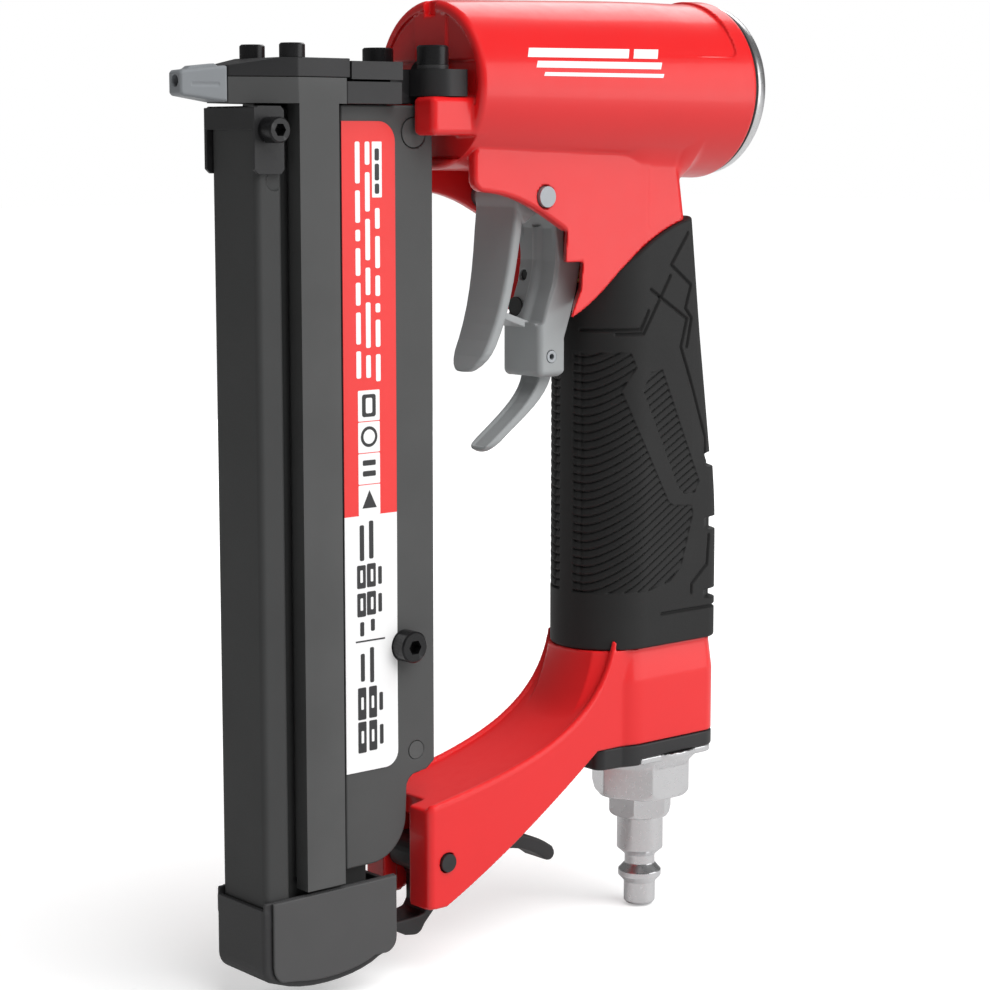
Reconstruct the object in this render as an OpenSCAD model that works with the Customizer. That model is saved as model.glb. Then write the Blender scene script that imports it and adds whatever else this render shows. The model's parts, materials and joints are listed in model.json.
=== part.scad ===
// Pneumatic pin nailer: barrel along X, nose towards -X, handle and magazine down.
// Millimetres. +Z up. Origin below the middle of the tool, level with the plug's tip.

/* [Barrel] */
// height of the barrel's axis above the tip of the air plug
barrel_axis_z = 203.2; // [195:0.1:210]
// position of the barrel's front face
barrel_front_x = -10.5; // [-14:0.1:-8]
// position of the barrel's rear edge, where the cap starts
barrel_rear_x = 73.9; // [70:0.1:80]
// radius of the barrel at the front
barrel_front_r = 18.9; // [18.5:0.1:20]
// radius of the barrel at the rear
barrel_rear_r = 21.3; // [20.8:0.1:23]
// radius of the bore that holds the sleeve and the head valve
barrel_bore_r = 17; // [16:0.1:17.4]
// thickness of the rear cap outside the barrel
rear_cap_t = 3.9; // [3:0.1:6]

/* [Air motor] */
// bore radius of the cylinder sleeve
sleeve_bore_r = 12.5; // [11:0.1:13]
// stroke of the piston
piston_stroke = 30; // [20:1:31]
// radius of the driver blade
driver_r = 0.9; // [0.6:0.05:1.1]
// radial gap in every running fit
running_gap = 0.06; // [0.02:0.01:0.1]

/* [Nose] */
// half width of the nose plates
nose_half_w = 10.5; // [9.5:0.1:11.5]
// position of the nose's front corners
nose_corner_x = -54; // [-57:0.1:-52]
// rear end of the no-mar tip
tip_rear_x = -67.6; // [-70:0.1:-66]
// front end of the no-mar tip
tip_front_x = -78.5; // [-82:0.1:-76]
// height of the seam between the two nose plates
nose_seam_z = 204.25; // [203.8:0.05:204.5]

/* [Magazine] */
// half width of the sliding magazine's front channel
slider_half_w = 8.38; // [7.8:0.02:8.6]
// front face of the sliding magazine
slider_front_x = -63.8; // [-65:0.1:-63]
// wall thickness of the sliding magazine
slider_wall = 1.3; // [1:0.1:1.6]
// rear edge of the side plates
plate_rear_x = -15.6; // [-18:0.1:-14]
// outer face of the side plates, from the middle plane
plate_half_w = 7.5; // [7.2:0.1:7.7]

/* [Handle] */
// half width of the rubber grip
grip_half_w = 14; // [13.5:0.1:15]
// thickness of the rubber grip
grip_wall = 2.1; // [1.5:0.1:2.6]
// bottom edge of the rubber grip
grip_bottom_z = 69; // [66:0.5:74]
// bottom face of the handle's base
base_bottom_z = 45.2; // [44:0.1:48]
// half width of the arm between handle and magazine
arm_half_w = 12.15; // [11.5:0.05:13]
// radius of the air reservoir inside the handle
reservoir_r = 8.5; // [6:0.1:9]

/* [Trigger] */
// trigger pivot, along the barrel
trigger_x = 13.2; // [12:0.1:14.5]
// trigger pivot height
trigger_z = 178.2; // [177:0.1:179]
// radius of the trigger pin
trigger_pin_r = 2.4; // [2:0.1:2.6]
// half width of the trigger's rear channel
trigger_half_w = 6.8; // [6:0.1:7.5]
// safety lever pivot, along the barrel
safety_x = 20.6; // [19:0.1:21]
// safety lever pivot height
safety_z = 140.8; // [140:0.1:142]
// radius of the safety lever's pin
safety_pin_r = 1.4; // [1.2:0.05:1.6]

/* [Air inlet] */
// position of the air plug's axis
plug_x = 57; // [55:0.1:59]
// shank radius of the air plug
plug_shank_r = 5.8; // [5.6:0.05:6]
// width across the flats of the inlet nut
inlet_nut_af = 22; // [20:0.5:24]

/* [Latch] */
// latch pivot, along the barrel
latch_x = -15.6; // [-17:0.1:-15]
// latch pivot height
latch_z = 26.6; // [26:0.1:28]
// radius of the latch pin
latch_pin_r = 2.1; // [1.8:0.1:2.3]

/* [Hidden] */
bore_fn = 128;
form_fn = 48;
round_fn = 64;
wire_fn = 12;
cut = 0.02;
body_gap = 0.05;
wall_half_w = 13.15;
wall_inner_y = 10.15;
lining_inner_y = 7.2;
ear_inner_y = 4.7;
arm_slot_y = 5.2;
latch_half_w = 4.2;
cap_rear_x = barrel_rear_x + rear_cap_t + 0.7;
sleeve_front_x = -1.9;
sleeve_rear_x = 51.5;
sleeve_wall = 1.8;
piston_front_x = 39.5;
piston_len = 7;
head_valve_x = sleeve_rear_x + 0.3;
grip_front_cx = 45.2;
bracket_front_cx = 47.4;
handle_top_z = 182;
grip_lean = 7.6;
grip_rear_x = 70.25;
grip_rear_z = 112;
neck_rear_x = 60.2;
neck_rear_z = 174;
neck_lean = 10;
grip_corner_r = 5;
core_half_w = plate_half_w - 1.25;
channel_half_w = 4.4;
slider_top_z = 198.1;
slider_bottom_z = 12.2;
tongue_rear_x = -33;
rail_rear_x = -43.6;
foot_front_x = -65;
foot_rear_x = -28.5;
foot_wall_y = 9.2;
foot_panel_y = 10;
foot_top_z = 25.9;
nose_bottom_z = 198.7;
side_screw_x = -24.3;
side_screw_z = 78;
lug_screw_x = -17.35;
lug_screw_y = 9.85;
valve_z = 160;

red = [0.88, 0.12, 0.12];
black = [0.13, 0.13, 0.14];
dark_steel = [0.27, 0.28, 0.29];
steel = [0.66, 0.67, 0.69];
rubber = [0.1, 0.1, 0.1];
grey_plastic = [0.55, 0.57, 0.59];
brass = [0.75, 0.6, 0.3];

// points of an arc in the XZ plane
function arc(cx, cz, r, a0, a1, n = 8) =
    [for (i = [0 : n]) [cx + r * cos(a0 + (a1 - a0) * i / n), cz + r * sin(a0 + (a1 - a0) * i / n)]];
// points of a cubic curve from a to d
function curve(a, b, c, d, n = 10) =
    [for (i = [0 : n]) let (t = i / n, u = 1 - t)
        u * u * u * a + 3 * u * u * t * b + 3 * u * t * t * c + t * t * t * d];

// an XZ outline given thickness from y0 to y1
module plate(points, y0, y1) {
    translate([0, y1, 0]) rotate([90, 0, 0]) linear_extrude(y1 - y0) polygon(points);
}
// the same plate on both sides of the middle plane
module both_sides(points, y0, y1) {
    plate(points, y0, y1);
    plate(points, -y1, -y0);
}
module box(x0, x1, y0, y1, z0, z1) {
    translate([x0, y0, z0]) cube([x1 - x0, y1 - y0, z1 - z0]);
}
// a rod or a hole along X, Y or Z
module rod_x(x0, x1, r, z = barrel_axis_z, y = 0, fn = round_fn) {
    translate([x0, y, z]) rotate([0, 90, 0]) cylinder(h = x1 - x0, r = r, $fn = fn);
}
module rod_y(x, z, y0, y1, r, fn = round_fn) {
    translate([x, y1, z]) rotate([90, 0, 0]) cylinder(h = y1 - y0, r = r, $fn = fn);
}
module rod_z(x, y, z0, z1, r, fn = round_fn) {
    translate([x, y, z0]) cylinder(h = z1 - z0, r = r, $fn = fn);
}
// a solid of revolution about the barrel's axis, outline as [radius, x]
module turned_x(outline, z = barrel_axis_z, fn = bore_fn) {
    translate([0, 0, z]) rotate([0, 90, 0]) rotate_extrude($fn = fn) polygon(outline);
}
module ring_x(x0, x1, r_in, r_out, z = barrel_axis_z) {
    turned_x([[r_in, x0], [r_out, x0], [r_out, x1], [r_in, x1]], z);
}
// a ring of coil rings standing in for a compression spring along Z
module coil_z(z0, z1, r, wire, turns) {
    pitch = (z1 - z0 - 2 * wire) / (turns - 1);
    for (i = [0 : turns - 1])
        translate([0, 0, z0 + wire + i * pitch])
            rotate_extrude($fn = form_fn) translate([r, 0]) circle(r = wire, $fn = wire_fn);
}
module coil_x(x0, x1, r, wire, turns) {
    translate([x0, 0, 0]) rotate([0, 90, 0]) coil_z(0, x1 - x0, r, wire, turns);
}
// a socket head cap screw standing along +Z, head on top, socket cut in it
module cap_screw(head_r, head_h, shank_r, shank_len, socket_af) {
    difference() {
        union() {
            cylinder(h = head_h - 0.35, r = head_r, $fn = round_fn);
            translate([0, 0, head_h - 0.35])
                cylinder(h = 0.35, r1 = head_r, r2 = head_r - 0.35, $fn = round_fn);
            translate([0, 0, -shank_len]) cylinder(h = shank_len + cut, r = shank_r, $fn = round_fn);
        }
        translate([0, 0, head_h * 0.45]) cylinder(h = head_h, r = socket_af / sqrt(3), $fn = 6);
    }
}

// flat sides with two rounded corners at the rear, from x0 back to xr
module rear_section(x0, xr, inset) {
    r = grip_corner_r - inset * 0.6;
    w = grip_half_w - inset;
    x1 = xr - inset - r;
    translate([x0, -w]) square([x1 - x0, 2 * w]);
    translate([x1 - 1, r - w]) square([r + 1, 2 * (w - r)]);
    for (s = [-1, 1]) translate([x1, s * (w - r)]) circle(r = r, $fn = round_fn);
}
// whole handle, from below the base up into the barrel's underside
module handle_form(inset) {
    intersection() {
        translate([0, 0, base_bottom_z]) linear_extrude(handle_top_z - base_bottom_z) {
            translate([grip_front_cx, 0]) circle(r = grip_half_w - inset, $fn = bore_fn);
            rear_section(grip_front_cx, 71.3, inset);
        }
        // the rear leans forward towards the barrel
        translate([grip_rear_x, 0, grip_rear_z]) rotate([0, -grip_lean, 0]) translate([0, 0, -90])
            linear_extrude(180) rear_section(-70, 0, inset);
    }
}
// outline of the region covered by rubber
grip_edge = concat([[25, grip_bottom_z], [80, grip_bottom_z], [80, 175]],
    curve([64, 173.5], [51, 171.5], [44, 166], [36, 160]),
    curve([36, 160], [32, 156.5], [26, 151.5], [19, 149.2], 6));
module grip_region() {
    plate(grip_edge, -30, 30);
}

// top edge of the arm, then its underside
arm_outline = concat(
    [[-21.2, 16.1], [-21.2, 39.6], [-20.6, 40.4]],
    curve([-20.2, 40.6], [10, 45.5], [32.4, 51.5], [36.4, 71.4]),
    [[45, 71.4], [45, base_bottom_z], [33, base_bottom_z]],
    curve([31.3, base_bottom_z], [16, 33.6], [-2, 22.5], [-15.7, 16.1]));
// side wall of the trigger space
wall_outline = concat(
    arc(-4.4, 187.5, 3.5, 90, 180, 6),
    arc(-4.9, 182.5, 3, 180, 265, 6),
    curve([-4.5, 179.4], [4, 178.8], [9, 176.5], [19.6, 170.4], 8),
    [[19.2, 163], [24.6, 163], [24, 156.5], [20, 148.4], [30, 146], [46, 146], [46, 191]]);
// inner half of the wall, set back so that it follows the wall's slanting front edge
wall_lining = [[22.6, 171], [22.6, 163], [28, 163], [27.4, 156.5], [23.6, 149],
    [31, 146], [46, 146], [46, 171]];

module barrel_body() {
    turned_x([[0, barrel_front_x], [17.3, barrel_front_x], [18.3, barrel_front_x + 0.6],
              [barrel_front_r, barrel_front_x + 1.8], [barrel_rear_r, barrel_rear_x - 0.8],
              [barrel_rear_r - 0.5, barrel_rear_x], [0, barrel_rear_x]]);
    // lugs that carry the nose flange
    for (s = [-1, 1]) translate([0, s * 11.8, 0]) {
        box(-21.8, barrel_front_x + 4, -3.7, 3.7, 192, 200.45);
    }
    // blend under the rear of the barrel
    plate(concat([[54, 176], [54, 190], [73, 190], [73, 184]],
        curve([71, 183.2], [63.5, 183.2], [59.8, 182], [59.4, 177.4], 8)), -8.5, 8.5);
}

module trigger_walls() {
    difference() {
        plate(wall_outline, -wall_half_w, wall_half_w);
        box(-30, 60, -wall_inner_y, wall_inner_y, 140, 185);
    }
    both_sides(wall_lining, lining_inner_y, wall_inner_y + cut);
}
module arm() difference() {
    plate(arm_outline, -arm_half_w, arm_half_w);
    // slot between the ears for the latch and the magazine
    box(-30, -16.6, -ear_inner_y, ear_inner_y, 10, 50);
    plate([[-17, 10], [-17, 35.5], [-9, 35.5], [16, 41], [24, 35], [10, 10]], -arm_slot_y, arm_slot_y);
}

module housing() color(red) difference() {
    union() {
        barrel_body();
        // all that the rubber doesn't cover: trigger walls, handle shoulder and arm
        difference() {
            union() {
                trigger_walls();
                handle_form(grip_half_w - wall_half_w);
                arm();
            }
            grip_region();
            // rear of the neck leans forward under the barrel
            translate([neck_rear_x, 0, neck_rear_z]) rotate([0, -neck_lean, 0])
                translate([0, -20, -12]) cube([20, 40, 20]);
        }
        intersection() {
            handle_form(grip_wall + body_gap);
            box(20, 80, -20, 20, grip_bottom_z - 1, 178);
        }
        intersection() {
            handle_form(0.25);
            box(20, 80, -20, 20, base_bottom_z, grip_bottom_z - body_gap);
        }
    }
    // stepped bore of the barrel
    rod_x(-2, 100, barrel_bore_r, fn = bore_fn);
    rod_x(-20, 0, 1.6);
    // recess along the top of the barrel, ending in a step near the rear
    intersection() {
        ring_x(20, 68.4, 20.5, 24);
        box(0, 90, -30, 30, 210.5, 240);
    }
    // air reservoir, inlet hole and passage up to the barrel
    rod_z(52, 0, 50, 166, reservoir_r);
    rod_z(plug_x, 0, 40, 60, 8.5 + body_gap);
    box(46, 58, -4, 4, 165, 190);
    // valve pocket and pivot holes
    rod_x(20, 60.2, 6 + body_gap, valve_z);
    rod_y(trigger_x, trigger_z, -30, 30, trigger_pin_r + body_gap);
    rod_y(latch_x, latch_z, -30, 30, latch_pin_r + body_gap);
    // screw holes in the lugs
    for (s = [-1, 1]) rod_z(lug_screw_x, s * lug_screw_y, 190, 202, 2 + body_gap);
}

module rear_cap() color(steel) difference() {
    x0 = barrel_rear_x + 0.7;
    turned_x([[0, x0 - 5.5], [barrel_bore_r - body_gap, x0 - 5.5], [barrel_bore_r - body_gap, x0],
              [20.7, x0], [20.7, x0 + 0.8], [20.3, x0 + 2.6], [19.8, cap_rear_x - 0.6],
              [19.2, cap_rear_x], [0, cap_rear_x]]);
    turned_x([[0, x0 - 6], [13, x0 - 6], [13, x0 + 1], [0, x0 + 1]]);
    for (i = [0 : 7])
        translate([0, 0, barrel_axis_z]) rotate([i * 45, 0, 0])
            translate([x0, 0, 9]) rotate([0, 90, 0]) cylinder(h = 10, r = 1.6, $fn = round_fn);
}
module cap_gasket() color(rubber)
    ring_x(barrel_rear_x + body_gap, barrel_rear_x + 0.65, barrel_bore_r + 0.05, 20.7);

module cylinder_sleeve() color(steel) difference() {
    r = sleeve_bore_r + sleeve_wall;
    turned_x([[sleeve_bore_r, sleeve_front_x], [barrel_bore_r - body_gap, sleeve_front_x],
              [barrel_bore_r - body_gap, 4], [r, 6], [r, 38], [barrel_bore_r - body_gap, 40],
              [barrel_bore_r - body_gap, 45], [r, 47], [r, sleeve_rear_x],
              [sleeve_bore_r, sleeve_rear_x]]);
    ring_x(0, 2.4, 15, 20);
    ring_x(41.3, 43.7, 15, 20);
}
module sleeve_seals() color(rubber) {
    ring_x(0.05, 2.35, 15.05, barrel_bore_r - body_gap);
    ring_x(41.35, 43.65, 15.05, barrel_bore_r - body_gap);
}
module bumper() color([0.2, 0.25, 0.5])
    turned_x([[1.7, sleeve_front_x + 0.05], [sleeve_bore_r - body_gap, sleeve_front_x + 0.05],
              [sleeve_bore_r - body_gap, 4], [10.5, 8.6], [4, 8.6], [1.7, 6.5]]);

module piston() color([0.72, 0.73, 0.75]) difference() {
    x1 = piston_front_x + piston_len;
    turned_x([[0, piston_front_x], [9, piston_front_x],
              [sleeve_bore_r - running_gap, piston_front_x + 1],
              [sleeve_bore_r - running_gap, x1], [0, x1]]);
    ring_x(piston_front_x + 3, piston_front_x + 5, 10.6, 20);
    rod_x(piston_front_x + 3.5, 90, 5, fn = bore_fn);
    rod_x(0, 90, driver_r + 0.6);
}
module piston_seal() color(rubber)
    ring_x(piston_front_x + 3.05, piston_front_x + 4.95, 10.65, sleeve_bore_r - running_gap);
module driver_blade() color([0.5, 0.51, 0.53]) {
    rod_x(-46, piston_front_x - 1, driver_r, fn = bore_fn);
    turned_x([[0, piston_front_x - 1.02], [driver_r + 0.55, piston_front_x - 1.02],
              [driver_r + 0.55, piston_front_x + 3.55], [3.6, piston_front_x + 3.55],
              [3.6, piston_front_x + 5.5], [0, piston_front_x + 5.5]]);
}
module head_valve() color(brass) difference() {
    turned_x([[11, head_valve_x], [barrel_bore_r - running_gap, head_valve_x],
              [barrel_bore_r - running_gap, head_valve_x + 6.5], [11, head_valve_x + 6.5]]);
    ring_x(head_valve_x + 2.2, head_valve_x + 4.2, 15.2, 20);
    ring_x(head_valve_x + 4.5, head_valve_x + 9, 11.9, 14.6);
}
module head_valve_seal() color(rubber)
    ring_x(head_valve_x + 2.25, head_valve_x + 4.15, 15.25, barrel_bore_r - running_gap);
module head_valve_spring() color(steel)
    translate([0, 0, barrel_axis_z]) coil_x(head_valve_x + 7.7, barrel_rear_x - 5.1, 13.25, 0.6, 4);

// nose outline seen from above, from the tip back to x_rear
function nose_plan(x_rear) = [[tip_rear_x, -4], [nose_corner_x - 0.5, -nose_half_w + 0.15],
    [nose_corner_x, -nose_half_w], [x_rear, -nose_half_w], [x_rear, nose_half_w],
    [nose_corner_x, nose_half_w], [nose_corner_x - 0.5, nose_half_w - 0.15], [tip_rear_x, 4]];

module nose_flange() color(black) difference() {
    union() {
        // round-ended plate on the lugs
        translate([0, 0, 200.55]) linear_extrude(5.85) hull() for (s = [-1, 1]) {
            translate([-16, s * 10]) circle(r = 5, $fn = round_fn);
            translate([-11.9, s * 14.2]) circle(r = 0.7, $fn = round_fn);
        }
        // neck forward to the cover
        box(-26.2, -14, -6, 6, 199, 206.4);
        box(-40.1, -26.2, -nose_half_w, nose_half_w, 203.95, 207.8);
        // spigot towards the barrel
        rod_x(-12, barrel_front_x - body_gap, 6, fn = bore_fn);
    }
    rod_x(-60, 0, driver_r + 0.15);
    for (s = [-1, 1]) rod_z(lug_screw_x, s * lug_screw_y, 190, 210, 2 + body_gap);
}
module guide_block() color(black) difference() {
    box(-41.4, -26.3, -nose_half_w, nose_half_w, nose_bottom_z, 203.5);
    rod_x(-60, 0, driver_r + 0.15);
    box(-45, -20, -driver_r - 0.15, driver_r + 0.15, barrel_axis_z, 210);
}
module driver_guide() color(dark_steel) difference() {
    union() {
        translate([0, 0, nose_bottom_z]) linear_extrude(nose_seam_z - 0.1 - nose_bottom_z)
            polygon(nose_plan(-41.5));
        for (s = [-1, 1]) box(nose_corner_x, rail_rear_x, s > 0 ? core_half_w + body_gap : -nose_half_w,
            s > 0 ? nose_half_w : -core_half_w - body_gap, 26.8, nose_bottom_z + 1);
    }
    // channel of the driver and the slot the pins rise through
    rod_x(-80, 0, driver_r + 0.15);
    box(-80, -30, -driver_r - 0.15, driver_r + 0.15, barrel_axis_z, 210);
    box(-66, -44, -0.6, 0.6, 190, barrel_axis_z);
    for (s = [-1, 1]) rod_z(nose_corner_x + 0.5, s * 7.35, 201, 210, 1.5 + body_gap);
}
module nose_cover() color(dark_steel) difference() {
    translate([0, 0, nose_seam_z]) linear_extrude(208.3 - nose_seam_z) polygon(nose_plan(-40.4));
    // slope down towards the tip
    plate([[-80, 204.9], [tip_rear_x, 206.5], [-57, 208.32], [-57, 212], [-80, 212]], -20, 20);
    rod_x(-80, 0, driver_r + 0.15);
    for (s = [-1, 1]) rod_z(nose_corner_x + 0.5, s * 7.35, 190, 210, 1.5 + body_gap);
}
module nose_cover_screws() color(black) for (s = [-1, 1])
    translate([nose_corner_x + 0.5, s * 7.35, 208.35]) cap_screw(2.75, 3, 1.5, 6.5, 2.5);
module nose_flange_screws() color(black) for (s = [-1, 1])
    translate([lug_screw_x, s * lug_screw_y, 207.4]) cap_screw(3.5, 4.2, 2, 15, 3);
module flange_washers() color(black) for (s = [-1, 1])
    translate([lug_screw_x, s * lug_screw_y, 206.45]) difference() {
        cylinder(h = 0.9, r = 3.5, $fn = round_fn);
        translate([0, 0, -1]) cylinder(h = 4, r = 2.1, $fn = round_fn);
    }

module no_mar_tip() color([0.55, 0.58, 0.6]) difference() {
    x1 = tip_rear_x - 0.05;
    union() {
        // wedge that narrows towards the muzzle
        intersection() {
            plate([[tip_front_x, 200.6], [tip_front_x + 0.8, 200.1], [x1, 198.8], [x1, 206.5],
                   [tip_front_x + 0.8, 205.4], [tip_front_x, 204.9]], -6, 6);
            translate([0, 0, 190]) linear_extrude(25)
                polygon([[tip_front_x, -2], [tip_front_x + 0.6, -2.4], [x1, -4.2], [x1, 4.2],
                         [tip_front_x + 0.6, 2.4], [tip_front_x, 2]]);
        }
        // raised rib along the top
        plate([[-76, 205.6], [-75, 206.3], [-69, 206.9], [-68.2, 206.4], [-76, 204.8]], -1.2, 1.2);
    }
    rod_x(-90, -60, driver_r + 0.4);
}

// side plate outline: straight rear edge, notch for the arm, round lower corner
plate_outline = concat(
    [[-41, 28.8], [-34, 28.8]],
    arc(-34, 38.8, 10, -90, 0, 8),
    [[-23.8, 43.4]],
    arc(-20.6, 44.6, 3.2, 180, 90, 5),
    [[-18, 48.2], [plate_rear_x, 50], [plate_rear_x, nose_bottom_z - 0.15]],
    [[-41, nose_bottom_z - 0.15]]);
module fixed_magazine() color(dark_steel) difference() {
    union() {
        box(-53, -31, -core_half_w, core_half_w, 28.8, nose_bottom_z - 0.15);
        plate(plate_outline, -core_half_w, core_half_w);
    }
    // channel for the sliding magazine's tongue
    box(-70, tongue_rear_x + 0.6, -channel_half_w, channel_half_w, 0, 220);
    // lightening space behind the channel
    box(-30, -26, -channel_half_w, channel_half_w, 50, 190);
}
module side_plates() color(dark_steel) difference() {
    both_sides(plate_outline, core_half_w + body_gap, plate_half_w);
    rod_y(-21, 53.2, -20, 20, 2.05 + body_gap);
    rod_y(-21, 192.6, -20, 20, 3.4);
    rod_y(side_screw_x, side_screw_z, -20, 0, 2.1 + body_gap);
}
module plate_rivets() color(dark_steel) for (s = [-1, 1]) {
    y0 = s > 0 ? core_half_w + body_gap : -plate_half_w - 0.05;
    y1 = s > 0 ? plate_half_w + 0.05 : -core_half_w - body_gap;
    rod_y(-21, 53.2, y0, y1, 2.05);
    rod_y(-21, 192.6, y0, y1, 3.2);
}
// outline of the label on the near side plate
label_outline = concat([[-41, 50.7]], arc(-29.9, 54.2, 3.5, -90, 0, 6),
    arc(-30.9, 190.6, 4.5, 0, 90, 6), [[-41, 195.1]]);
module label() color([0.9, 0.25, 0.25]) difference() {
    plate(label_outline, -plate_half_w - 0.25, -plate_half_w - 0.05);
    rod_y(side_screw_x, side_screw_z, -20, 0, 3.8);
}
module side_screw() color(black)
    translate([side_screw_x, -plate_half_w - 0.05, side_screw_z])
        rotate([90, 0, 0]) cap_screw(3.6, 4, 2.1, 1.15, 3);

module sliding_magazine() color(dark_steel) difference() {
    x_back = slider_front_x + 6.7;
    union() {
        box(slider_front_x, x_back, -slider_half_w, slider_half_w, slider_bottom_z, slider_top_z);
        box(x_back - 1, tongue_rear_x, -4.1, 4.1, slider_bottom_z, slider_top_z);
    }
    // hollow of the front channel and the pusher's channel
    box(slider_front_x + slider_wall, x_back - slider_wall, -slider_half_w + slider_wall,
        slider_half_w - slider_wall, slider_bottom_z + 2, 220);
    box(slider_front_x + slider_wall, tongue_rear_x - 1.2, -2.9, 2.9, slider_bottom_z + 2, 220);
}
module stop_bracket() color(black) difference() {
    x0 = slider_front_x - 1.05;
    y1 = slider_half_w + 1;
    union() {
        both_sides(concat([[x0, 184.8], [x0 + 1, 183.9], [-58, 183.9]], [[-57.2, 184.8], [-57.2, 197.2],
            [-58, 198.1], [x0 + 1, 198.1], [x0, 197.4]]), slider_half_w + body_gap, y1);
        box(x0, slider_front_x - body_gap, -y1, y1, 193.2, 197.8);
    }
    rod_y(-61.2, 193.1, -20, 0, 1.55);
}
module bracket_screw() color(black)
    translate([-61.2, -slider_half_w - 1.05, 193.1]) rotate([90, 0, 0]) cap_screw(2.75, 4.2, 1.5, 0.95, 2.5);

foot_outline = concat([[foot_front_x, 24.3]], arc(-61, 10.8, 4, 180, 235, 4),
    curve([-58, 5.6], [-50, 3.2], [-38, 4.2], [-33, 7.2], 8),
    arc(-32.5, 11.5, 4, -75, 0, 5), [[foot_rear_x, 24.3]]);
module foot_cap() color(black) difference() {
    union() {
        plate(foot_outline, -foot_wall_y, foot_wall_y);
        // side walls stand a little higher
        both_sides([[foot_front_x + 0.2, 20], [foot_rear_x, 20], [foot_rear_x, foot_top_z],
                    [foot_front_x + 0.2, foot_top_z]], slider_half_w + 0.1, foot_wall_y);
        // catch at the rear for the latch hook
        box(foot_rear_x - 1, -26.6, -3.9, 3.9, 13.6, 17);
    }
    box(slider_front_x - 0.1, foot_rear_x - 1.5, -slider_half_w - 0.1, slider_half_w + 0.1,
        slider_bottom_z - 0.05, 60);
}
panel_outline = concat([[-62.9, 25.7]], arc(-58.5, 11.2, 4.4, 180, 240, 5),
    curve([-57, 6.9], [-50, 5.2], [-40, 5.8], [-35, 8.2], 8), arc(-32, 11.3, 3.3, -80, 0, 5), [[-28.7, 25.7]]);
module foot_panels() color(dark_steel) both_sides(panel_outline, foot_wall_y + body_gap, foot_panel_y);

module pusher() color(steel) difference() {
    union() {
        box(-61, -36.2, -2.6, 2.6, 180, 190);
        box(-61, -36.2, -0.4, 0.4, 189, 197.6);
    }
    rod_z(-48, 0, 170, 200, 1.3);
}
module spring_rod() color(steel) rod_z(-48, 0, slider_bottom_z + 2.1, 197.9, 1.2);
module pusher_spring() color(steel)
    translate([-48, 0, 0]) coil_z(slider_bottom_z + 2.3, 179.8, 2, 0.35, 40);

// finger blade seen from the side
blade_front = curve([9.4, 180], [7.6, 162], [6.2, 150], [-1.6, 138]);
blade_back = curve([0.8, 137.6], [9, 148], [9.8, 160], [12, 176]);
flange_outline = [[21.6, 171], [22.8, 163], [21.9, 158], [19.6, 152.5], [17.6, 147], [16.9, 144], [16.9, 137],
    [18.2, 135.8], [23.3, 135.8], [24.7, 137.2], [24.7, 145], [26.7, 150.5], [28.4, 156], [29.8, 163],
    [24.5, 163], [24.5, 171], [20, 180], [14, 182.5]];
web_outline = [[14, 182.4], [19.8, 180], [24.3, 171], [24.3, 163], [23.5, 157], [20.8, 151],
    [19.3, 147.6], [17.8, 147.6], [19.2, 152], [21.4, 158], [22.2, 163], [22.2, 170.6], [18.4, 178], [14, 179]];
front_web_outline = [[16.9, 148], [16.9, 137], [17.2, 136.3], [17.9, 136.3], [17.9, 147.6],
    [19.3, 147.6], [19.3, 149]];
module trigger() color(grey_plastic) difference() {
    union() {
        intersection() {
            plate(concat(blade_front, blade_back), -7.4, 7.4);
            // blade narrows to a rounded lower end
            translate([-20, 0, 0]) rotate([90, 0, 90]) linear_extrude(60)
                polygon(concat([[-7.4, 190], [-7.2, 170]],
                    [for (i = [0 : 12]) [-5.8 * cos(i * 15), 143.8 - 6.2 * sin(i * 15)]],
                    [[7.2, 170], [7.4, 190]]));
        }
        rod_y(trigger_x, trigger_z, -7.2, 7.2, 4.2);
        plate([[9.6, 176], [10.5, 181.5], [13, 182.4], [16, 180], [15, 174], [11.8, 172]], -7.2, 7.2);
        both_sides(flange_outline, trigger_half_w - 1.6, trigger_half_w);
        // web of the channel, and its lower front in front of the lever
        plate(web_outline, -trigger_half_w + 0.5, trigger_half_w - 0.5);
        plate(front_web_outline, -trigger_half_w + 0.5, trigger_half_w - 0.5);
        // rib between blade and channel
        plate([[6, 150.6], [6.4, 152.2], [18.3, 148.2], [17.5, 146.6]], -5, 5);
    }
    rod_y(trigger_x, trigger_z, -30, 30, trigger_pin_r + running_gap);
    rod_y(safety_x, safety_z, -30, 30, safety_pin_r + body_gap);
}
module trigger_pin() color(steel) {
    rod_y(trigger_x, trigger_z, -13.8, 13.8, trigger_pin_r);
}
lever_outline = concat([[18.2, 139.8]],
    curve([19.9, 136.2], [18.8, 130.6], [12, 126.6], [3.9, 120.6], 8),
    [[3.4, 119.7], [4.2, 118.9], [5.4, 119.1]],
    curve([7, 120.4], [13, 125.4], [21.4, 129.4], [23.7, 135.5], 8),
    arc(safety_x, safety_z, 2.45, 0, 180, 12));
module safety_lever() color(grey_plastic) difference() {
    intersection() {
        plate(lever_outline, -3.5, 3.5);
        // the lever ends in a half round
        union() {
            rod_x(-10, 40, 3.5, 122.2);
            box(-10, 40, -3.5, 3.5, 122.2, 150);
        }
    }
    rod_y(safety_x, safety_z, -30, 30, safety_pin_r + running_gap);
}
module safety_pin() color(steel) difference() {
    rod_y(safety_x, safety_z, -trigger_half_w - 0.1, trigger_half_w + 0.1, safety_pin_r);
    rod_y(safety_x, safety_z, -30, 30, safety_pin_r / 2);
}
module safety_spring() color(steel)
    for (s = [-1, 1]) translate([safety_x, s * 4.35, safety_z]) rotate([90, 0, 0])
        coil_z(-0.75, 0.75, 1.85, 0.35, 2);

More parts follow.
